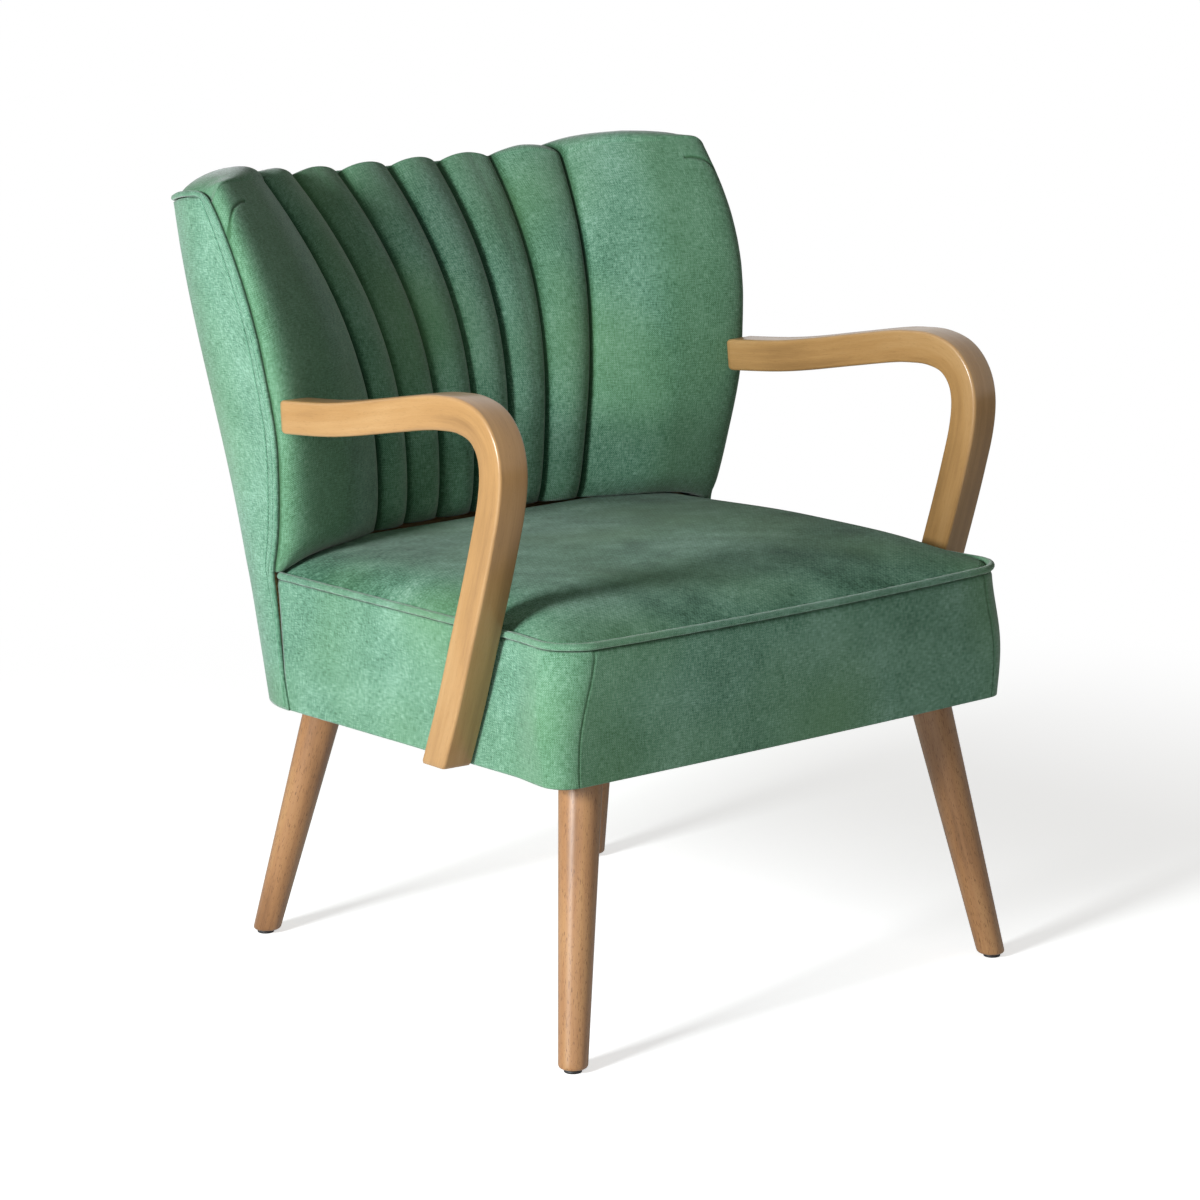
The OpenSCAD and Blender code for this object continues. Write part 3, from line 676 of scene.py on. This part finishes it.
def channel_panel(name, swell, rows=150, per_channel=22, steps=14):
    """Six channels that fan out upward. Across a channel the cloth swells by a sine to the power
    0.55, so it is full in the middle and drops into a narrow seam."""
    a = np.linspace(-1, 1, 6 * per_channel + 1)[None]
    top, low = top_z(SEAM_TOP * a) - TOP_GAP, pad_bottom(SEAM_LOW * a)
    z = rising(low, top, rows)
    wave = np.abs(np.sin(3 * np.pi * a)) + 0 * z
    bulge = swell * wave ** 0.55 * (1 - 0.4 * (1 - np.minimum((z - low) / 0.02, 1)) ** 2)
    face = swollen(a * (seam_x(z) - SEAM_GAP), z, bulge)
    z = rising(low, top, rows + steps)
    back = rear_of_pad(a * seam_place(z, -SEAM_GAP), a * (seam_x(z) - SEAM_GAP), 0.0, z, top)
    wave = np.concatenate([wave, np.repeat(wave[-1:], steps, 0)])
    # Painted shade: the last values darken the cloth near each channel seam, where the swell drops into the
    # crease.
    return closed_form(name, roll_over(face, back[-1], steps, 0.010, 0.7), back,
                       unit(1 - wave / 0.42) ** 1.5)


def wing_panel(name, side, swell, rows=180, cols=96, steps=30):
    """Wing panel between the last channel and the piping: it swells to a soft crest midway, slopes
    off toward the piping and rolls over the top of the wing. A dart curves round its top corner."""
    t = 1 - (1 - np.linspace(0, 1, cols)[None]) ** 1.35
    share = 1 - (1 - np.linspace(0, 1, rows)[:, None]) ** 1.3
    top = (top_z(SEAM_TOP + 0.130 * t) - TOP_GAP - 0.008 * ramp((t - 0.1) / 0.5)
           - 0.006 * (1 - np.minimum((1 - t) / 0.12, 1)) ** 2)
    low = pad_bottom(SEAM_LOW + 0.152 * t)
    z = low + (top - low) * share

    def across(height, room):
        return seam_x(height) + SEAM_GAP + (edge_x(height) - room - seam_x(height) - SEAM_GAP) * t

    u = np.maximum(t - CREST, 0) / (1 - CREST)
    outer = (1 - 0.25 * u ** 1.4) * (1 - u ** 6) ** 0.5
    inner = (0.32 * (1 - (1 - np.minimum(t / 0.12, 1)) ** 2) ** 0.5
             + 0.68 * np.sin(np.pi / 2 * np.minimum(t / CREST, 1)) ** 1.15)
    bulge = swell * outer * inner * (1 - 0.45 * (1 - np.minimum((z - low) / 0.028, 1)) ** 2)
    aside, below = (1 - t) * (0.135 + 0 * z), top - z
    wide, high = 1.8, 1.9  # how far the dart reaches aside and down, in radii
    dart = np.abs(np.hypot(aside / wide - DART, below - high * DART) - DART)
    dart = np.exp(-(dart / 0.0010) ** 2) * (aside < wide * DART) * (below < high * DART)
    face = swollen(across(z, 0.0036), z, bulge - 0.0016 * dart)
    s = seam_place(0.79, SEAM_GAP)
    rear_edge = cover_top(s + (WING_END - s) * t) - TOP_GAP
    z = rising(low, rear_edge, rows + steps)
    s = seam_place(z, SEAM_GAP)
    back = rear_of_pad(s + (WING_END - s) * t, across(z, SKIN + 0.0014), t, z, rear_edge)
    puff = 0.006 + 0.017 * np.sqrt(unit((1 - t) / 0.35)) * ramp((t + 0.25) / 0.6)
    face = roll_over(face, back[-1], steps, puff[..., None], 0.5)
    # Painted shade: the seam values darken the cloth beside both edges of the panel and along the dart.
    seam = unit(1 - np.minimum(t, 8 * (1 - t)) / 0.025) + np.zeros((rows + steps, 1))
    seam[:rows] = np.maximum(seam[:rows], dart)
    mirror = np.array([side, 1, 1])
    # Painted shade: the last values darken the outer part of the panel, toward the piping, and make it
    # yellower.
    return closed_form(name, face * mirror, back * mirror, seam, ramp((t - 0.5 * CREST) / 0.3))


def outside_panel(name):
    """Cover over the rear and the outer sides, from the piping of one wing to that of the other.
    A stitched fold runs beside the piping: a narrow groove at a fixed distance from the edge."""
    rows, cols = COVER_GRID
    k = np.linspace(-1, 1, cols)
    s = (np.sign(k) * (1 - (1 - np.abs(k)) ** 1.6))[None]
    z = rising(SEAT_BOTTOM, cover_top(s) - COVER_DOWN, rows)
    s = s + 0 * z
    depth = np.maximum(0.02, rear_y(z) - rear_radius(z) - edge_y(z))
    away = np.where(np.abs(s) > 0.8, depth * (1 - np.abs(s)) / 0.2, 1.0)
    fold = np.exp(-((away - STITCH_AWAY) / 0.0011) ** 2)
    tuck = np.exp(-(away / 0.0015) ** 2)  # the cloth turns in beside the piping
    face = outside(s, z, 0.0011 * fold + 0.0021 * tuck, COVER_FRONT)
    # Painted shade: the last values darken the fold's groove and the turn beside the piping.
    return closed_form(name, face, outside(s, z, SKIN + 0 * s, COVER_FRONT), 0.4 * fold + 0.6 * tuck)


def back_piping_path(inset=0.0010, behind=0.0028):
    """Up the front edge of a wing, round its top corner and along the rear edge, then mirrored."""
    z = np.linspace(SEAT_BOTTOM + 0.001, 0.792, 160)
    s = np.concatenate([np.linspace(0.955, 0.4, 60), np.linspace(0.38, 0, 12)])
    rise = stacked(edge_x(z) - inset, edge_y(z) + behind, z)
    half = np.concatenate([rise, outside(s, cover_top(s), inset)])
    path = even_steps(np.concatenate([half, (half * [-1, 1, 1])[::-1][1:]]), 700)
    kernel = np.ones(9) / 9
    soft = np.stack([np.convolve(path[:, k], kernel, "valid") for k in range(3)], 1)
    return np.concatenate([path[:4], soft, path[-4:]])


class CHAIR_OT_back(bpy.types.Operator):
    """Builds the channels, the wings, the outside cover and the piping of the back"""
    bl_idname = "chair.back"
    bl_label = "Back"

    def execute(self, context):
        sizes, cloth = context.scene.chair_sizes, cloth_for(context)
        channels = channel_panel("back_channels", sizes.channel_swell)
        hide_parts("inside_back")
        pads = [channels]
        for word, side in SIDES:
            wing = wing_panel(f"wing_{word}", side, sizes.wing_swell)
            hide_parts(f"wing_pad_{word}")
            pads.append(wing)
        cover = outside_panel("outside_cover")
        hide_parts("outside_back")
        cord = piping("back_piping", back_piping_path(), sizes.back_piping_radius)
        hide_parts("back_welt")
        for piece in pads + [cover]:
            dress(piece, cloth)
        dress(cord, cloth)
        return {"FINISHED"}


# Seat

FOAM_REAR = 0.486
BAND_TOP = SEAT_EDGE - 0.0044
BAND_GRID = (60, 640)
CROWN_UNDER = SEAT_EDGE - 0.0086  # the flat underside of the crowned top
CORNER_SEAM = 0.247  # where the vertical seam stands on the plan's line, and its mirror


def cushion_plan(t, z, inset, rear):
    """Closed plan for t from 0 to 1: the seat's front and sides, then round rear corners."""
    w, r = seat_half(z) - inset, 0.054
    body = seat_plan(unit(t / 0.8), z, inset, rear - r)
    k = unit((t - 0.8) / 0.2)
    side = np.where(k < 0.5, 1.0, -1.0)
    turn = np.radians(90) * unit(np.minimum(k, 1 - k) / 0.3)
    straight = unit(np.abs(k - 0.5) / 0.2)
    x = side * np.where(np.minimum(k, 1 - k) < 0.3, w - r + r * np.cos(turn), (w - r) * straight)
    y = rear - r + r * np.sin(turn)
    return np.where((t > 0.8)[..., None], stacked(x, y, z), body)


def shrinking_rings(z, inset, rear, rings, around=320):
    """Plan of rings that shrink from the cushion's rim toward its middle, and the size of each."""
    t = (np.arange(around) / around)[None]
    f = np.cos(np.radians(90) * np.linspace(0, 0.995, rings))[:, None]
    rim = cushion_plan(t + 0 * f, z + 0 * t + 0 * f, inset, rear)
    middle = np.array([0, CROWN_Y])
    return middle + (rim[..., :2] - middle) * f[..., None], f


def seat_crown(name, swell):
    """Top of the seat: rings that shrink toward the middle, at the height of seat_top_z."""
    plan, f = shrinking_rings(SEAT_EDGE, 0.0048, FOAM_REAR + 0.006, 64)
    x, y = plan[..., 0], plan[..., 1]
    z = seat_top_z(x, y, swell + 0.002) - 0.0025 * unit(1 - (1 - f) / 0.02)
    dip = 0.0008 * np.sin(x / 0.047 + 0.6) * np.sin(y / 0.061) * (1 - f)
    # Painted shade: the seam values darken a narrow ring along the crown's rim, beside the piping.
    seam = unit(1 - (1 - f) / 0.012) + 0 * x
    return dish(name, plan, (z + dip, CROWN_UNDER + 0 * z), seam.ravel(),
                [[0, CROWN_Y, SEAT_EDGE + swell], [0, CROWN_Y, CROWN_UNDER]])


def seat_band(name):
    """Band round the front and sides: it swells a little between the piping and the underside."""
    rows, cols = BAND_GRID
    t = np.linspace(0, 1, cols)[None]
    z = rising(SEAT_BOTTOM, BAND_TOP, rows) + 0 * t
    t = t + 0 * z
    rear = edge_y(z)
    belly = np.sin(np.pi * (z - SEAT_BOTTOM) / (BAND_TOP - SEAT_BOTTOM))
    swell = 0.0012 * belly * ramp(6 * np.minimum(t, 1 - t)) - 0.0016 * ramp((z - BAND_TOP + 0.004) / 0.004)
    place = np.minimum(np.abs(t - CORNER_SEAM), np.abs(t - 1 + CORNER_SEAM)) * 2 * (2 * SEAT_HALF + 0.44)
    seam = np.exp(-(place / 0.0012) ** 2)
    face = seat_plan(t, z, 0.0009 * seam - swell, rear)
    # Painted shade: the last values darken the band along its two vertical seams, which are also pressed in a
    # little.
    return closed_form(name, face, seat_plan(t, z, SKIN, rear), 0.7 * seam)


def bottom_cloth(name):
    """Thin cloth under the seat: rings that shrink toward the middle, with a doubled hem along the
    rim and a slight sag between the rails. Returns the piece, its size and its flat area."""
    plan, f = shrinking_rings(SEAT_BOTTOM, SKIN + 0.0016, FOAM_REAR + 0.004, 40)
    hem = 0.0004 * ramp((f - 0.955) / 0.004)
    ripple = 0.0005 * np.sin(plan[..., 0] / 0.021) * np.sin(plan[..., 1] / 0.034)
    low = SEAT_BOTTOM - 0.0010 - hem - (0.0022 + ripple) * (1 - f ** 4)
    piece = dish(name, plan, (low + 0.0007 + hem, low), np.zeros(low.size))
    a, b = plan[0], np.roll(plan[0], -1, axis=0)
    area = abs(float(np.sum(a[:, 0] * b[:, 1] - b[:, 0] * a[:, 1]))) / 2
    return piece, tuple(float(v) for v in np.ptp(plan[0], axis=0)), area


def cut_round_plates(cloth, room=0.0008):
    """Cuts the cloth away where a leg plate meets it, and returns the area of all four cuts. The
    cuts of the rear plates only touch the cloth's rim."""
    gone = 0.0
    for node in ("front_plate_left", "front_plate_right", "rear_plate_left", "rear_plate_right"):
        low, high = (np.array(corner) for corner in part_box(node))
        low, high = low - [room, room, 0.02], high + [room, room, 0.02]
        bpy.ops.mesh.primitive_cube_add(size=1, location=tuple((low + high) / 2), scale=tuple(high - low))
        cutter = bpy.context.object
        cut = cloth.modifiers.new("cut", "BOOLEAN")
        cut.operation, cut.solver, cut.object = "DIFFERENCE", "EXACT", cutter
        result = bpy.data.meshes.new_from_object(cloth.evaluated_get(bpy.context.evaluated_depsgraph_get()))
        cloth.modifiers.remove(cut)
        cloth.data = result
        bpy.data.objects.remove(cutter)
        gone += float((high[0] - low[0]) * (high[1] - low[1]))
    return gone


def woven_straps(name, steps=150, wide=0.050, thick=0.0014):
    """Webbing of the seat: five straps across the frame and five along it, over and under in turn.
    Their ends lie flat on the rails."""
    low, high = (np.array(corner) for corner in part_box("seat_webbing"))
    middle, apart_x = (low[2] + high[2]) / 2, 0.33 * (high[0] + 0.004)
    apart_y, first_y, outer_strap = 0.080, 0.095, 0.440
    front, rear = low[1] - SEAT_FRONT, high[1] - SEAT_FRONT
    points, faces = [], []
    for k in range(10):
        j, across = k % 5 - 2, k < 5
        stop = rear if abs(j) < 2 else min(rear, front + outer_strap)
        ends = (low[0], high[0]) if across else (front, stop)
        way = np.linspace(*ends, steps)
        turn = way / apart_x if across else (way - first_y) / apart_y
        flat = ramp((way - ends[0]) / 0.03) * ramp((ends[1] - way) / 0.03)
        weave = 0.0008 * (-1) ** j * np.clip(1.8 * np.cos(np.pi * turn), -1, 1) * (1 if across else -1)
        z = low[2] + 0.5 * thick + (middle - low[2] - 0.5 * thick + weave) * flat
        place = first_y + apart_y * (j + 2) if across else j * apart_x
        rims = []
        for side, up in CORNERS:
            beside, level = place + side * wide / 2, z + up * thick / 2
            rims.append(stacked(way, beside, level) if across else stacked(beside, way, level))
        points.append(np.stack(rims, 1).reshape(-1, 3))
        last = 4 * (steps - 1)
        caps = [[0, 1, 2, 3], [last + 3, last + 2, last + 1, last]]
        quads = np.concatenate([grid_quads(steps, 4, 0, True), caps])
        faces.append(outward(points[-1], quads) + 4 * steps * k)
    points = np.concatenate(points)
    return new_piece(name, points, np.concatenate(faces), uv=points[:, :2], closed=False)


def foam_block(name, around=160, rows=12, closing=8):
    """Foam inside the seat: a wall with tucked edges, closed below and above by rings that shrink
    toward the middle."""
    low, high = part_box("seat_foam")
    t = (np.arange(around) / around)[None]
    z = np.linspace(float(low[2]), float(high[2]), rows)[:, None]
    inset = 0.0038 + 0.003 * np.abs(2 * np.linspace(0, 1, rows)[:, None] - 1) ** 8
    wall = cushion_plan(t + 0 * z, z + 0 * t, inset + 0 * t, FOAM_REAR)
    shrink = 1 - (1 - np.linspace(1, 0.02, closing)[:, None, None]) * np.array([1, 1, 0])
    middle = np.array([0, 0.236, 0])
    under, over = ((wall[k] - middle) * shrink + middle for k in (0, -1))
    rings = np.concatenate([under[::-1], wall, over])
    return new_piece(name, with_middles(rings), tube_faces(len(rings), around))


class CHAIR_OT_seat(bpy.types.Operator):
    """Builds the crowned top, the band, the piping, the padding, the webbing and the bottom cloth"""
    bl_idname = "chair.seat"
    bl_label = "Seat"

    def execute(self, context):
        sizes, cloth = context.scene.chair_sizes, cloth_for(context)
        crown = seat_crown("seat_top", sizes.seat_swell)
        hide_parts("seat_cover")
        band = seat_band("seat_band")
        flat, area = flat_size(band, BAND_GRID)
        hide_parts("seat_boxing")
        steps = 520
        rear = float(edge_y(np.array(SEAT_EDGE))) - 0.001
        line = seat_plan(np.linspace(0, 1, steps), SEAT_EDGE + 0.0008, 0.0008, rear)
        cord = piping("seat_piping", even_steps(line, steps), sizes.piping_radius)
        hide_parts("seat_welt")
        # Painted shade: the crown gets a darker copy of the cloth, with stronger random patches and less
        # sheen.
        brushed = stuff("brushed green chenille", chenille, context.scene.chair_colours, 2.0, 0.10, 0.08)
        dress(crown, brushed)
        dress(band, cloth)
        dress(cord, cloth)
        under, flat, area = bottom_cloth("bottom_cloth")
        area -= cut_round_plates(under)
        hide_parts("dust_cover")
        black = stuff("black bottom cloth", plain_grain, ("#141414", "#242424"), 0.7 * MM, 0.95, 0.0002, 0.2)
        dress(under, black)
        straps = woven_straps("woven_straps")
        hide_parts("seat_webbing")
        elastic = stuff("elastic webbing", plain_grain, ("#2a2a28", "#45443f"), 1.2 * MM, 0.9, 0.0004)
        dress(straps, elastic)
        foam = foam_block("seat_padding")
        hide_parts("seat_foam")
        cream = stuff("cream foam", plain_grain, ("#d9cba2", "#e9dfbf"), 1.5 * MM, 0.95, 0.0006)
        dress(foam, cream)
        return {"FINISHED"}


# Woodwork

# y and z of the arm's middle line in millimetres, from its foot to its rear end
ARM_LINE = np.array([[159, 277], [134, 345], [113, 411], [95, 468], [82, 512], [71.5, 553], [69, 585],
                     [76, 609], [93, 626], [119, 633], [147, 632.5], [176, 629], [238, 617.5],
                     [302, 605.5], [351, 598.5], [416.4, 592.5]]) * MM
ARM_WIDTH = 0.035
ARM_HALF = 0.0172
ARM_SPAN = 0.340
ARM_TOE, ARM_LEAN = np.radians(2.26), np.radians(0.85)
ARM_END = 0.009  # length of the rounding at the rear end
ARM_FOOT = 0.003  # length of the softening at the foot
ARM_PIVOT = 0.55  # height about which the arm leans


def smooth_line(p, t):
    """Curve through the points p at t, by the usual cubic through four neighbours."""
    n = len(p) - 1
    i = np.clip(np.floor(t).astype(int), 0, n - 1)
    u = (t - i)[:, None]
    a, b, c, d = p[np.maximum(i - 1, 0)], p[i], p[i + 1], p[np.minimum(i + 2, n)]
    return 0.5 * (2 * b + (c - a) * u + (2 * a - 5 * b + 4 * c - d) * u ** 2
                  + (3 * b - a - 3 * c + d) * u ** 3)


def rounded_square(half_a, half_b, edge, per_corner=6):
    """Section with round edges: a quarter circle in each corner."""
    k = np.linspace(0, np.pi / 2, per_corner)
    corners = [(1, 1), (-1, 1), (-1, -1), (1, -1)]
    return np.concatenate([stacked(a * (half_a - edge) + edge * np.cos(k + q * np.pi / 2),
                                   b * (half_b - edge) + edge * np.sin(k + q * np.pi / 2))
                           for q, (a, b) in enumerate(corners)])


def wooden_bar(name, rings, side, grain, span, shift):
    """Closed bar from its rings, mirrored to its side, with a grain that runs along its span."""
    grain = np.concatenate([stacked(*grain).reshape(-1, 3), [[0, 0, 0], [span, 0, 0]]])
    return new_piece(name, with_middles(rings) * [side, 1, 1], tube_faces(*rings.shape[:2]),
                     vectors={"grain": grain + np.array([*shift, 0])})


def arm(name, side, edge, rings=240):
    """Bent bar: a rounded square section carried along the side view of the arm, cut level under
    the seat and with softened corners at its rear end, then leaned and toed in."""
    fine = smooth_line(ARM_LINE, np.linspace(0, len(ARM_LINE) - 1, 3000))
    fine = fine[fine[:, 1] > SEAT_BOTTOM + 0.0006]
    walk = walk_along(fine)
    end = walk[-1]
    at = np.concatenate([np.linspace(0, ARM_FOOT, 5)[:-1], np.linspace(ARM_FOOT, end - ARM_END, rings)[:-1],
                         end - ARM_END * np.cos(np.linspace(0, np.pi / 2, 12))])
    at = np.clip(at, 0, end)
    line, ahead, behind = (points_at(fine, walk, np.clip(at + step, 0, end)) for step in (0, 0.004, -0.004))
    way = (ahead - behind) / np.linalg.norm(ahead - behind, axis=1, keepdims=True)
    section = rounded_square(ARM_WIDTH / 2, ARM_HALF, edge)
    left = unit((end - at) / ARM_END)
    round_end = 1 - 0.22 * (1 - np.sqrt(unit(1 - (1 - left) ** 2)))
    foot_in = 1 - 0.05 * unit(1 - at / ARM_FOOT)
    scale = (round_end * foot_in)[:, None]
    across, along = section[None, :, 0] * scale, section[None, :, 1] * scale
    y = line[:, None, 0] + way[:, None, 1] * along
    z = line[:, None, 1] - way[:, None, 0] * along
    level = ramp(1 - at / 0.05)[:, None]
    slide = (line[:, None, 1] - z) / way[:, None, 1].clip(0.2)
    y, z = y + level * slide * way[:, None, 0], z + level * slide * way[:, None, 1]
    x, z = across - ARM_WIDTH / 2, z - ARM_PIVOT
    x, z = x * np.cos(ARM_LEAN) - z * np.sin(ARM_LEAN), x * np.sin(ARM_LEAN) + z * np.cos(ARM_LEAN)
    x, y = (x * np.cos(ARM_TOE) - y * np.sin(ARM_TOE) + ARM_SPAN,
            x * np.sin(ARM_TOE) + y * np.cos(ARM_TOE))
    return wooden_bar(name, stacked(x, y, z + ARM_PIVOT), side, (at[:, None], across, along), end,
                      (0.5 * side, 0.03 * side))


LEGS = {"front": ((0.292, 0.0), (0.2395, 0.0485)), "rear": ((0.232, 0.575), (0.1905, 0.509))}
LEG_RADII = (0.0146, 0.0220)
GLIDE_HEIGHT = 0.004


def circle(around):
    """Cosine and sine of evenly spaced angles."""
    angle = np.linspace(0, 2 * np.pi, around, endpoint=False)
    return np.cos(angle), np.sin(angle)


def leg(name, foot, top, side, around=64, edge=0.0035):
    """Turned tapered leg: circles whose middles run up the leaning axis, with a rounded foot."""
    turn = np.linspace(0, np.pi / 2, 8)
    z = np.concatenate([GLIDE_HEIGHT + edge * (1 - np.cos(turn)),
                        np.linspace(GLIDE_HEIGHT + edge, SEAT_BOTTOM, 60)[1:]])
    share = z / SEAT_BOTTOM
    radius = LEG_RADII[0] + (LEG_RADII[1] - LEG_RADII[0]) * share
    radius[:len(turn)] -= edge * (1 - np.sin(turn))
    foot, top = np.array(foot), np.array(top)
    middle = foot + (top - foot) * share[:, None]
    across, along = (radius[:, None] * part for part in circle(around))
    rings = stacked(middle[:, :1] + across, middle[:, 1:] + along, z[:, None])
    return wooden_bar(name, rings, side, (z[:, None], across, along), SEAT_BOTTOM,
                      (top[1] + side, foot[0] * side))


def glide(name, foot, side, radius=0.009, around=48):
    """Moulded glide: a low disc with rounded rims."""
    top = GLIDE_HEIGHT - 0.0005
    profile = np.array([[radius - 0.001, 0.0], [radius - 0.0003, 0.0003], [radius, 0.001], [radius, top]])
    x, y = (middle + profile[:, :1] * part for middle, part in zip(foot, circle(around)))
    points = np.concatenate([stacked(x, y, profile[:, 1:]).reshape(-1, 3), [[*foot, 0.0], [*foot, top]]])
    return new_piece(name, points * [side, 1, 1], tube_faces(len(profile), around))


class CHAIR_OT_woodwork(bpy.types.Operator):
    """Builds the two bent arms and the four legs with their glides"""
    bl_idname = "chair.woodwork"
    bl_label = "Arms and legs"

    def execute(self, context):
        colours, edge = context.scene.chair_colours, context.scene.chair_sizes.arm_edge
        arm_wood = stuff("varnished arm wood", varnished_wood, colours.arm_dark, colours.arm,
                         colours.arm_light, 0.22, 0.9)
        leg_wood = stuff("varnished leg wood", varnished_wood, colours.leg_dark, colours.leg,
                         colours.leg_light, 0.7, 0.8)
        black = stuff("black moulded nylon", plain_grain, ("#151515", "#232323"), 0.6 * MM, 0.5, 0.0001)
        for word, side in SIDES:
            bar = arm(f"wood_arm_{word}", side, edge)
            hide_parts(f"arm_{word}")
            dress(bar, arm_wood)
            for end, (foot, top) in LEGS.items():
                post = leg(f"wood_leg_{end}_{word}", foot, top, side)
                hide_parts(f"{end}_leg_{word}")
                dress(post, leg_wood)
                pad = glide(f"floor_glide_{end}_{word}", foot, side)
                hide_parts(f"{end}_glide_{word}")
                dress(pad, black)
        return {"FINISHED"}


class CHAIR_OT_inner_frame(bpy.types.Operator):
    """Gives the hidden frame, its plates and its bolts their materials"""
    bl_idname = "chair.inner_frame"
    bl_label = "Inner frame"

    def execute(self, context):
        beech = stuff("sawn beech", raw_wood, ("#b08d5e", "#cfae7d"))
        ply = stuff("birch plywood", raw_wood, ("#b9935f", "#d8bb8a"), 1.5 * MM)
        steel = stuff("zinc plated steel", zinc_steel)
        for name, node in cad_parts.items():
            metal = "bolt" in name or "plate" in name
            if not node.hide_render:
                dress(node, steel if metal else ply if name == "back_shell" else beech)
        return {"FINISHED"}


# Studio

CAMERA_AT = (-2.9088, -3.0356, 1.3408)
LOOK_AT = (0.0008, 0.2953, 0.3775)
LENS = 130.06
SENSOR = 36.0
FLOOR_HALF = 40
FLOOR_GRAIN = 1 / 1.5
LAMP_COLOUR = (0.94, 0.98, 1.0)
WHITE = (1, 1, 1, 1)


def lamp(name, at, aim, size, power):
    """Square soft light of a given width that faces a point."""
    data = bpy.data.lights.new(name, "AREA")
    data.shape = "SQUARE"
    data.size = size
    data.energy = power
    data.color = LAMP_COLOUR
    obj = linked(name, data)
    obj.location = Vector(at)
    obj.rotation_euler = (Vector(aim) - Vector(at)).to_track_quat("-Z", "Y").to_euler()


class CHAIR_OT_studio(bpy.types.Operator):
    """Builds the pale floor, the soft lights, the white surround and the camera"""
    bl_idname = "chair.studio"
    bl_label = "Studio"

    def execute(self, context):
        scene = context.scene
        mesh = bpy.data.meshes.new("studio_floor")
        mesh.from_pydata([(FLOOR_HALF * x, FLOOR_HALF * y, 0) for x, y in CORNERS], [], [(0, 1, 2, 3)])
        floor = linked("studio_floor", mesh)
        mat, tree = material("pale studio floor")
        rays = add(tree, "ShaderNodeLightPath")
        here = object_place(tree)
        tone = shades(tree, noise(tree, here, FLOOR_GRAIN, 2),
                      [(0.3, scene.chair_colours.floor), (0.7, linear("#f7f7f6"))])
        diffuse = add(tree, "ShaderNodeBsdfDiffuse", {"Color": tone}).outputs[0]
        glow = add(tree, "ShaderNodeEmission", Color=WHITE, Strength=0.62)
        both = add(tree, "ShaderNodeAddShader", {0: diffuse, 1: glow.outputs[0]})
        paper = add(tree, "ShaderNodeEmission", Color=WHITE, Strength=1.0)
        reach = add(tree, "ShaderNodeVectorMath", {0: here}, operation="LENGTH").outputs["Value"]
        away = spread(tree, reach, 0.6, 1.7, curve="SMOOTHSTEP")
        seen = mixed(tree, away, both.outputs[0], paper.outputs[0])
        pick = mixed(tree, rays.outputs["Is Camera Ray"], diffuse, seen)
        add(tree, "ShaderNodeOutputMaterial", {"Surface": pick})
        dress(floor, mat)

        world = bpy.data.worlds.new("studio surround")
        scene.world = world
        world.use_nodes = True
        tree = world.node_tree
        tree.nodes.clear()
        rays = add(tree, "ShaderNodeLightPath")
        seen = math(tree, "MAXIMUM", rays.outputs["Is Camera Ray"], rays.outputs["Is Glossy Ray"])
        dim = add(tree, "ShaderNodeBackground", Color=(1, 0.97, 0.91, 1), Strength=0.18)
        white = add(tree, "ShaderNodeBackground", Color=WHITE, Strength=1.0)
        pick = mixed(tree, seen, dim.outputs[0], white.outputs[0])
        add(tree, "ShaderNodeOutputWorld", {"Surface": pick})

        lamp("key_left", (-3.12, -0.50, 1.34), (0, 0, 0.45), 0.7, 140)
        lamp("fill_front_left", (-2.2, -2.8, 1.2), (0, 0, 0.4), 1.6, 6)

        data = bpy.data.cameras.new("photo_camera")
        data.lens = LENS
        data.sensor_width = SENSOR
        camera = linked("photo_camera", data)
        at, aim = (Vector(place) + Vector((0, SEAT_FRONT, 0)) for place in (CAMERA_AT, LOOK_AT))
        turn = (aim - at).to_track_quat("-Z", "Y").to_matrix().to_4x4()
        camera.matrix_world = Matrix.Translation(at) @ turn
        scene.camera = camera
        scene.view_settings.view_transform = "Standard"
        return {"FINISHED"}


class CHAIR_PT_panel(bpy.types.Panel):
    """Lists the steps and the values of the chair"""
    bl_idname = "CHAIR_PT_panel"
    bl_label = "Channel Back Chair"
    bl_space_type = "VIEW_3D"
    bl_region_type = "UI"
    bl_category = "Chair"

    def draw(self, context):
        for group in (context.scene.chair_sizes, context.scene.chair_colours):
            box = self.layout.box()
            for key in group.__annotations__:
                box.prop(group, key)
        for step in STEPS:
            self.layout.operator(step.bl_idname)


STEPS = (CHAIR_OT_back, CHAIR_OT_seat, CHAIR_OT_woodwork, CHAIR_OT_inner_frame, CHAIR_OT_studio)
CLASSES = (ChairSizes, ChairColours, *STEPS, CHAIR_PT_panel)


def register():
    for item in CLASSES:
        bpy.utils.register_class(item)
    bpy.types.Scene.chair_sizes = PointerProperty(type=ChairSizes)
    bpy.types.Scene.chair_colours = PointerProperty(type=ChairColours)


def unregister():
    del bpy.types.Scene.chair_colours
    del bpy.types.Scene.chair_sizes
    for item in reversed(CLASSES):
        bpy.utils.unregister_class(item)


def main():
    register()
    for step in STEPS:
        group, name = step.bl_idname.split(".")
        getattr(getattr(bpy.ops, group), name)()


if __name__ == "__main__":
    main()
